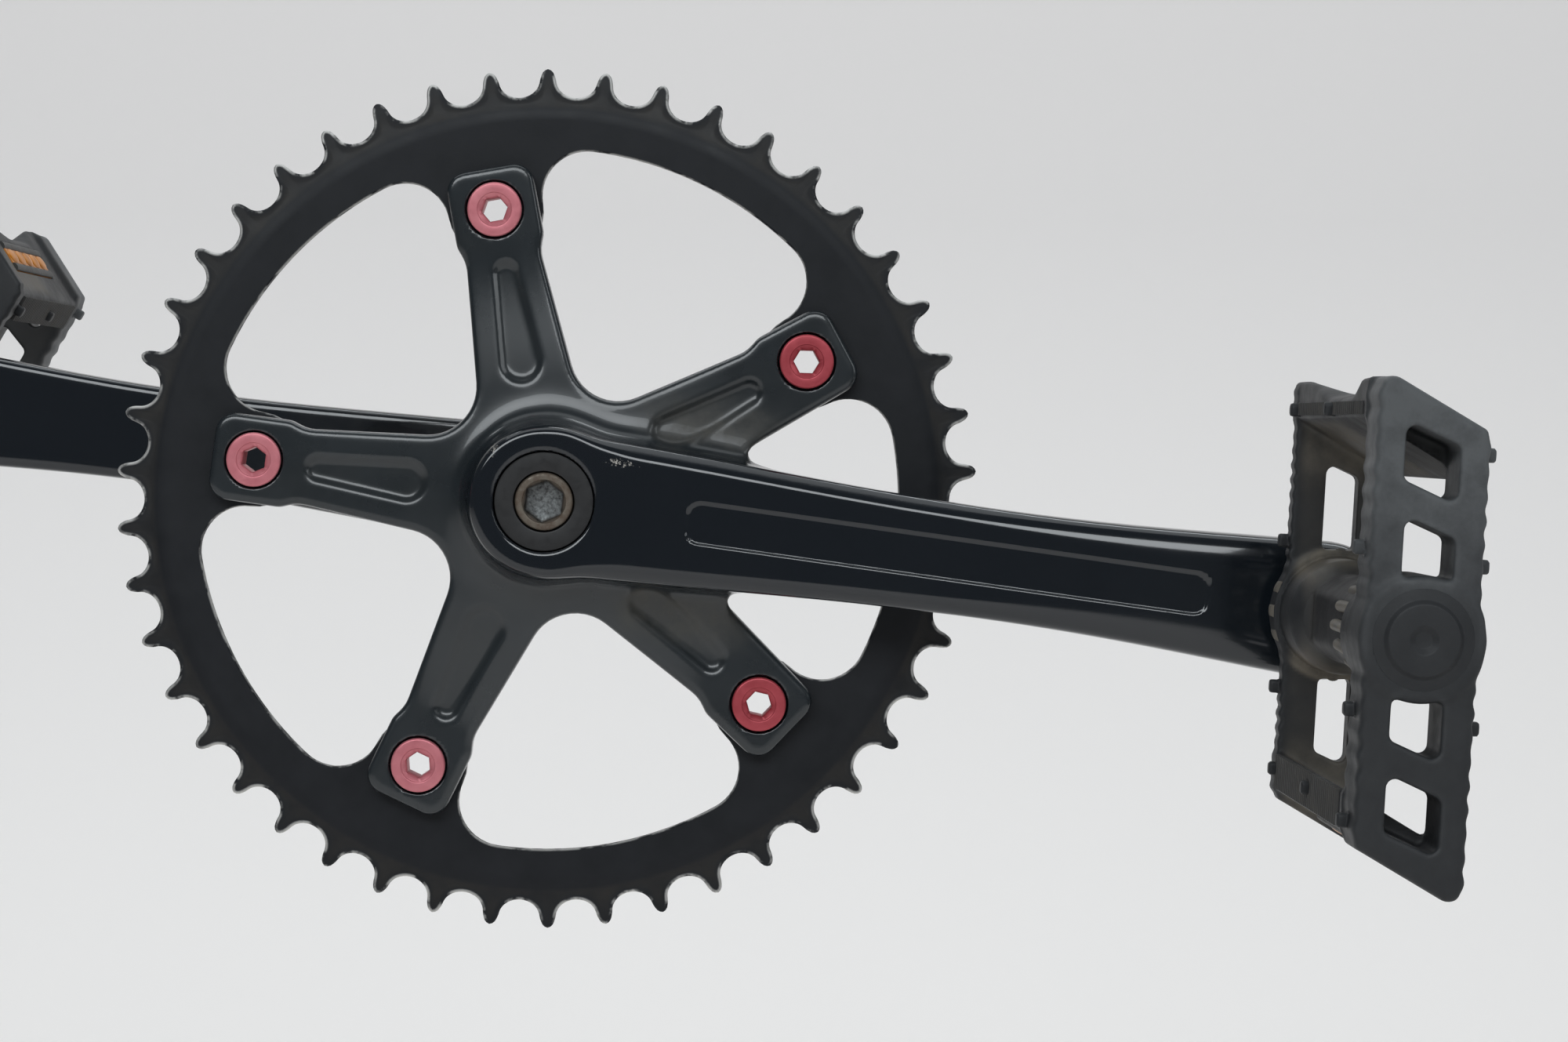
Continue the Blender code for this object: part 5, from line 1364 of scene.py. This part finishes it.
def thread_tree():
    """Geometry Nodes: a screw thread as a ridge wound on a spiral."""
    tree = bpy.data.node_groups.new("screw_thread", "GeometryNodeTree")
    tree.interface.new_socket("Thread", in_out="OUTPUT", socket_type="NodeSocketGeometry")
    for name, kind in (("Radius", "NodeSocketFloat"), ("Height", "NodeSocketFloat"), ("Turns", "NodeSocketFloat"),
                       ("Ridge", "NodeSocketFloat"), ("Finish", "NodeSocketMaterial")):
        tree.interface.new_socket(name, in_out="INPUT", socket_type=kind)
    nodes, link = tree.nodes, tree.links.new
    given = nodes.new("NodeGroupInput").outputs
    spiral = nodes.new("GeometryNodeCurveSpiral")
    spiral.inputs["Resolution"].default_value = 48
    ridge = nodes.new("GeometryNodeCurvePrimitiveCircle")
    ridge.inputs["Resolution"].default_value = 4
    sweep = nodes.new("GeometryNodeCurveToMesh")
    sweep.inputs["Fill Caps"].default_value = True
    real = nodes.new("GeometryNodeRealizeInstances")
    coat = nodes.new("GeometryNodeSetMaterial")
    result = nodes.new("NodeGroupOutput").inputs
    link(given["Turns"], spiral.inputs["Rotations"])
    link(given["Radius"], spiral.inputs["Start Radius"])
    link(given["Radius"], spiral.inputs["End Radius"])
    link(given["Height"], spiral.inputs["Height"])
    link(given["Ridge"], ridge.inputs["Radius"])
    link(spiral.outputs[0], sweep.inputs["Curve"])
    link(ridge.outputs[0], sweep.inputs["Profile Curve"])
    link(sweep.outputs[0], real.inputs[0])
    link(real.outputs[0], coat.inputs["Geometry"])
    link(given["Finish"], coat.inputs["Material"])
    link(coat.outputs[0], result["Thread"])
    return tree


SCREW_THREAD = thread_tree()


def make_bottom_bracket(steel, rubber):
    """Cartridge sleeve, and cups with threads and the notches of their tool."""
    sleeve = eased([(16.0, 30.0, 0.3), (16.0, -30.0, 0.3), (15.3, -30.0, 0.1), (15.3, 30.0, 0.1)])
    mesh = placed_mesh("bb_sleeve", *lathe(sleeve, 96), UPRIGHT)
    show("bracket_sleeve", mesh, steel, "bottom_bracket", "dark_steel", "bb_sleeve")
    bore = 10.9
    mouths = {"drive": [(21.0, 36.5, 0.6), (21.0, 34.0, 0.3), (17.0, 34.0, 0.0), (17.0, 16.0, 0.5), (16.3, 16.0, 0.1)],
              "left": [(17.0, 34.0, 0.5), (17.0, 18.0, 0.5), (16.3, 18.0, 0.1)]}
    for side, start, height, place in (("drive", 17.0, 15.6, UPRIGHT), ("left", 19.0, 13.6, BB_LEFT)):
        face = mouths[side][0][1]
        rows = eased(mouths[side] + [(16.3, 30.3, 0.0), (bore, 30.3, 0.2), (bore, face - CUP_NOTCH_DEPTH - 0.2, 0.0),
                                     (bore, face - CUP_NOTCH_DEPTH, 0.0), (bore, face - 0.4, 0.0), (bore + 0.4, face, 0.0)])
        points, faces = lathe(rows, 240)
        first_notch_row = len(points) - 3 * 240
        notched = []
        for k, (x, y, z) in enumerate(points):
            radius = math.hypot(x, y)
            wave = 0.5 + 0.5 * math.cos(CUP_NOTCHES * math.atan2(y, x))
            deepening = (CUP_NOTCH_RADIUS - bore) * float(smoothstep((wave - 0.4) / 0.25))
            reach = radius + (deepening if k >= first_notch_row else 0.0)
            notched.append((x * reach / radius, y * reach / radius, z))
        thread = grown(SCREW_THREAD, Radius=17.0, Height=height, Turns=height / 1.058, Ridge=0.36, Finish=steel)
        thread.transform(Matrix.Translation((0.0, 0.0, start)))
        mesh = settled(joined(local_mesh(notched, faces), thread), place)
        show(f"{side}_cup", mesh, steel, "bottom_bracket", "dark_steel", f"bb_{side}_cup")
        lip = eased([(10.6, 33.8, 0.4), (10.6, 30.8, 0.3), (8.8, 30.8, 0.3), (8.8, 32.0, 0.2), (9.3, 33.0, 0.3),
                     (9.3, 33.8, 0.3)])
        mesh = placed_mesh(f"{side}_seal", *lathe(lip, 72), place)
        show(f"{side}_lip_seal", mesh, rubber, "bottom_bracket", "seal_rubber", f"bb_{side}_seal")


def ball_ring_mesh(pitch, radius, count, z, finish):
    """Balls in a retainer, as a round pattern of one ball and its piece of the retainer."""
    bm = bmesh.new()
    bmesh.ops.create_uvsphere(bm, u_segments=20, v_segments=12, radius=radius)
    bmesh.ops.translate(bm, verts=bm.verts, vec=(pitch, 0.0, z))
    ball = bpy.data.meshes.new("ball")
    bm.to_mesh(ball)
    bm.free()
    balls = round_pattern(ball, count, finish)
    wall = radius * 0.28
    high = radius * 0.75
    retainer = eased([(pitch + wall, z + high, 0.1), (pitch + wall, z - high, 0.1), (pitch - wall, z - high, 0.1),
                      (pitch - wall, z + high, 0.1)])
    return joined(balls, local_mesh(*lathe(retainer, 72)))


def make_ball_rings(steel):
    for side, place in (("drive", UPRIGHT), ("left", BB_LEFT)):
        mesh = settled(ball_ring_mesh(11.85, 1.95, 7, 26.0, steel), place)
        show(f"{side}_bearing_balls", mesh, steel, f"bb_{side}_balls", "bright_steel", f"bb_{side}_ball_cage")
    for side, place in (("right", RIGHT_PEDAL), ("left", LEFT_PEDAL)):
        mesh = settled(ball_ring_mesh(6.1, 1.4, 6, 88.0, steel), place)
        show(f"{side}_pedal_balls", mesh, steel, f"{side}_pedal_balls", "bright_steel", f"{side}_pedal_ball_ring")


def dress_cad_nodes(bright, dark):
    """Finishes for the solids that show as they are."""
    for name, node in frame["nodes"].items():
        if not node.hide_render:
            node.data.materials.clear()
            node.data.materials.append(dark if name == "spindle" else bright)


def make_stage():
    """Pale floor that sweeps up into a backdrop."""
    floor_z, back_y, bend = -0.34, 1.5, 0.7
    section = [(-3.0, floor_z), (back_y - bend, floor_z)]
    for k in range(1, 17):
        angle = math.pi / 2.0 * k / 16
        section.append((back_y - bend + bend * math.sin(angle), floor_z + bend - bend * math.cos(angle)))
    section.append((back_y, 2.6))
    points = [(x, y, z) for x in (-3.2, 3.2) for y, z in section]
    count = len(section)
    faces = [(k, count + k, count + k + 1, k + 1) for k in range(count - 1)]
    mesh = bpy.data.meshes.new("backdrop")
    mesh.from_pydata(points, [], faces)
    mesh.shade_smooth()
    finish = Finish("backdrop_paper", (0.76, 0.73, 0.71), 0.9)
    # Painted light: the paper is lighter on the floor and darker up the wall
    height = finish.node("ShaderNodeSeparateXYZ", Vector=finish.object_place).outputs["Z"]
    finish.feed("Base Color", finish.mix(finish.spread(height, -0.30, 0.15), (0.90, 0.865, 0.84), (0.715, 0.685, 0.67)))
    finish.bump(finish.noise(30.0, 3.0), 0.0005, 0.1)
    finish.clear_from_behind()
    mesh.materials.append(finish.material)
    backdrop = bpy.data.objects.new("backdrop", mesh)
    bpy.context.scene.collection.objects.link(backdrop)


# Cool daylight; the backdrop's paper is a little warm
LAMP_COLOUR = (0.92, 0.97, 1.0)


def soft_light(name, place, size, power, target=(0.0, 0.0, 0.0)):
    lamp = bpy.data.lights.new(name, "AREA")
    lamp.shape = "RECTANGLE"
    lamp.size, lamp.size_y = size
    lamp.energy = power
    lamp.color = LAMP_COLOUR
    light = bpy.data.objects.new(name, lamp)
    light.location = place
    light.rotation_euler = (Vector(target) - Vector(place)).to_track_quat("-Z", "Y").to_euler()
    bpy.context.scene.collection.objects.link(light)


def make_light():
    world = bpy.data.worlds.new("studio")
    world.use_nodes = True
    world.node_tree.nodes["Background"].inputs["Color"].default_value = (0.60, 0.65, 0.70, 1.0)
    world.node_tree.nodes["Background"].inputs["Strength"].default_value = 0.2
    bpy.context.scene.world = world
    soft_light("overhead", (0.0, 0.1, 1.7), (2.2, 1.2), 8.5)
    soft_light("key", (-0.3, -2.0, 1.15), (2.4, 0.8), 33.0)
    soft_light("right_window", (1.5, -0.9, 0.75), (0.5, 1.3), 5.0)
    soft_light("backdrop_wash", (0.0, 0.6, 1.6), (3.0, 0.4), 16.5, (0.0, 1.5, 0.2))


def make_camera():
    camera = bpy.data.objects.new("camera", bpy.data.cameras.new("camera"))
    camera.data.sensor_width = 36.0
    camera.data.lens = 84.26
    camera.location = (0.035, -0.8599, 0.0159)
    camera.rotation_euler = [math.radians(a) for a in (90.0 - 1.427, -0.35, -1.22)]
    bpy.context.scene.collection.objects.link(camera)
    bpy.context.scene.camera = camera


def main():
    bpy.context.scene.view_settings.view_transform = "Standard"
    make_camera()
    make_light()
    make_stage()
    forged, ring, red = forged_black(), ring_black(), red_anodised()
    rusted, extractor, bright, dark = rusted_steel(), black_ring(), bright_steel(), dark_steel()
    rubber, plastic, amber = seal_rubber(), pedal_plastic(), amber_lens()
    make_drive_arm(forged)
    make_left_arm(forged)
    make_chainring(ring)
    make_chainring_bolts(red)
    make_crank_bolts(rusted, extractor)
    make_pedal_bodies(plastic)
    make_pedal_ribs(plastic)
    make_reflectors(amber)
    make_pedal_axles(bright, plastic)
    make_bottom_bracket(dark, rubber)
    make_ball_rings(bright)
    dress_cad_nodes(bright, dark)


main()
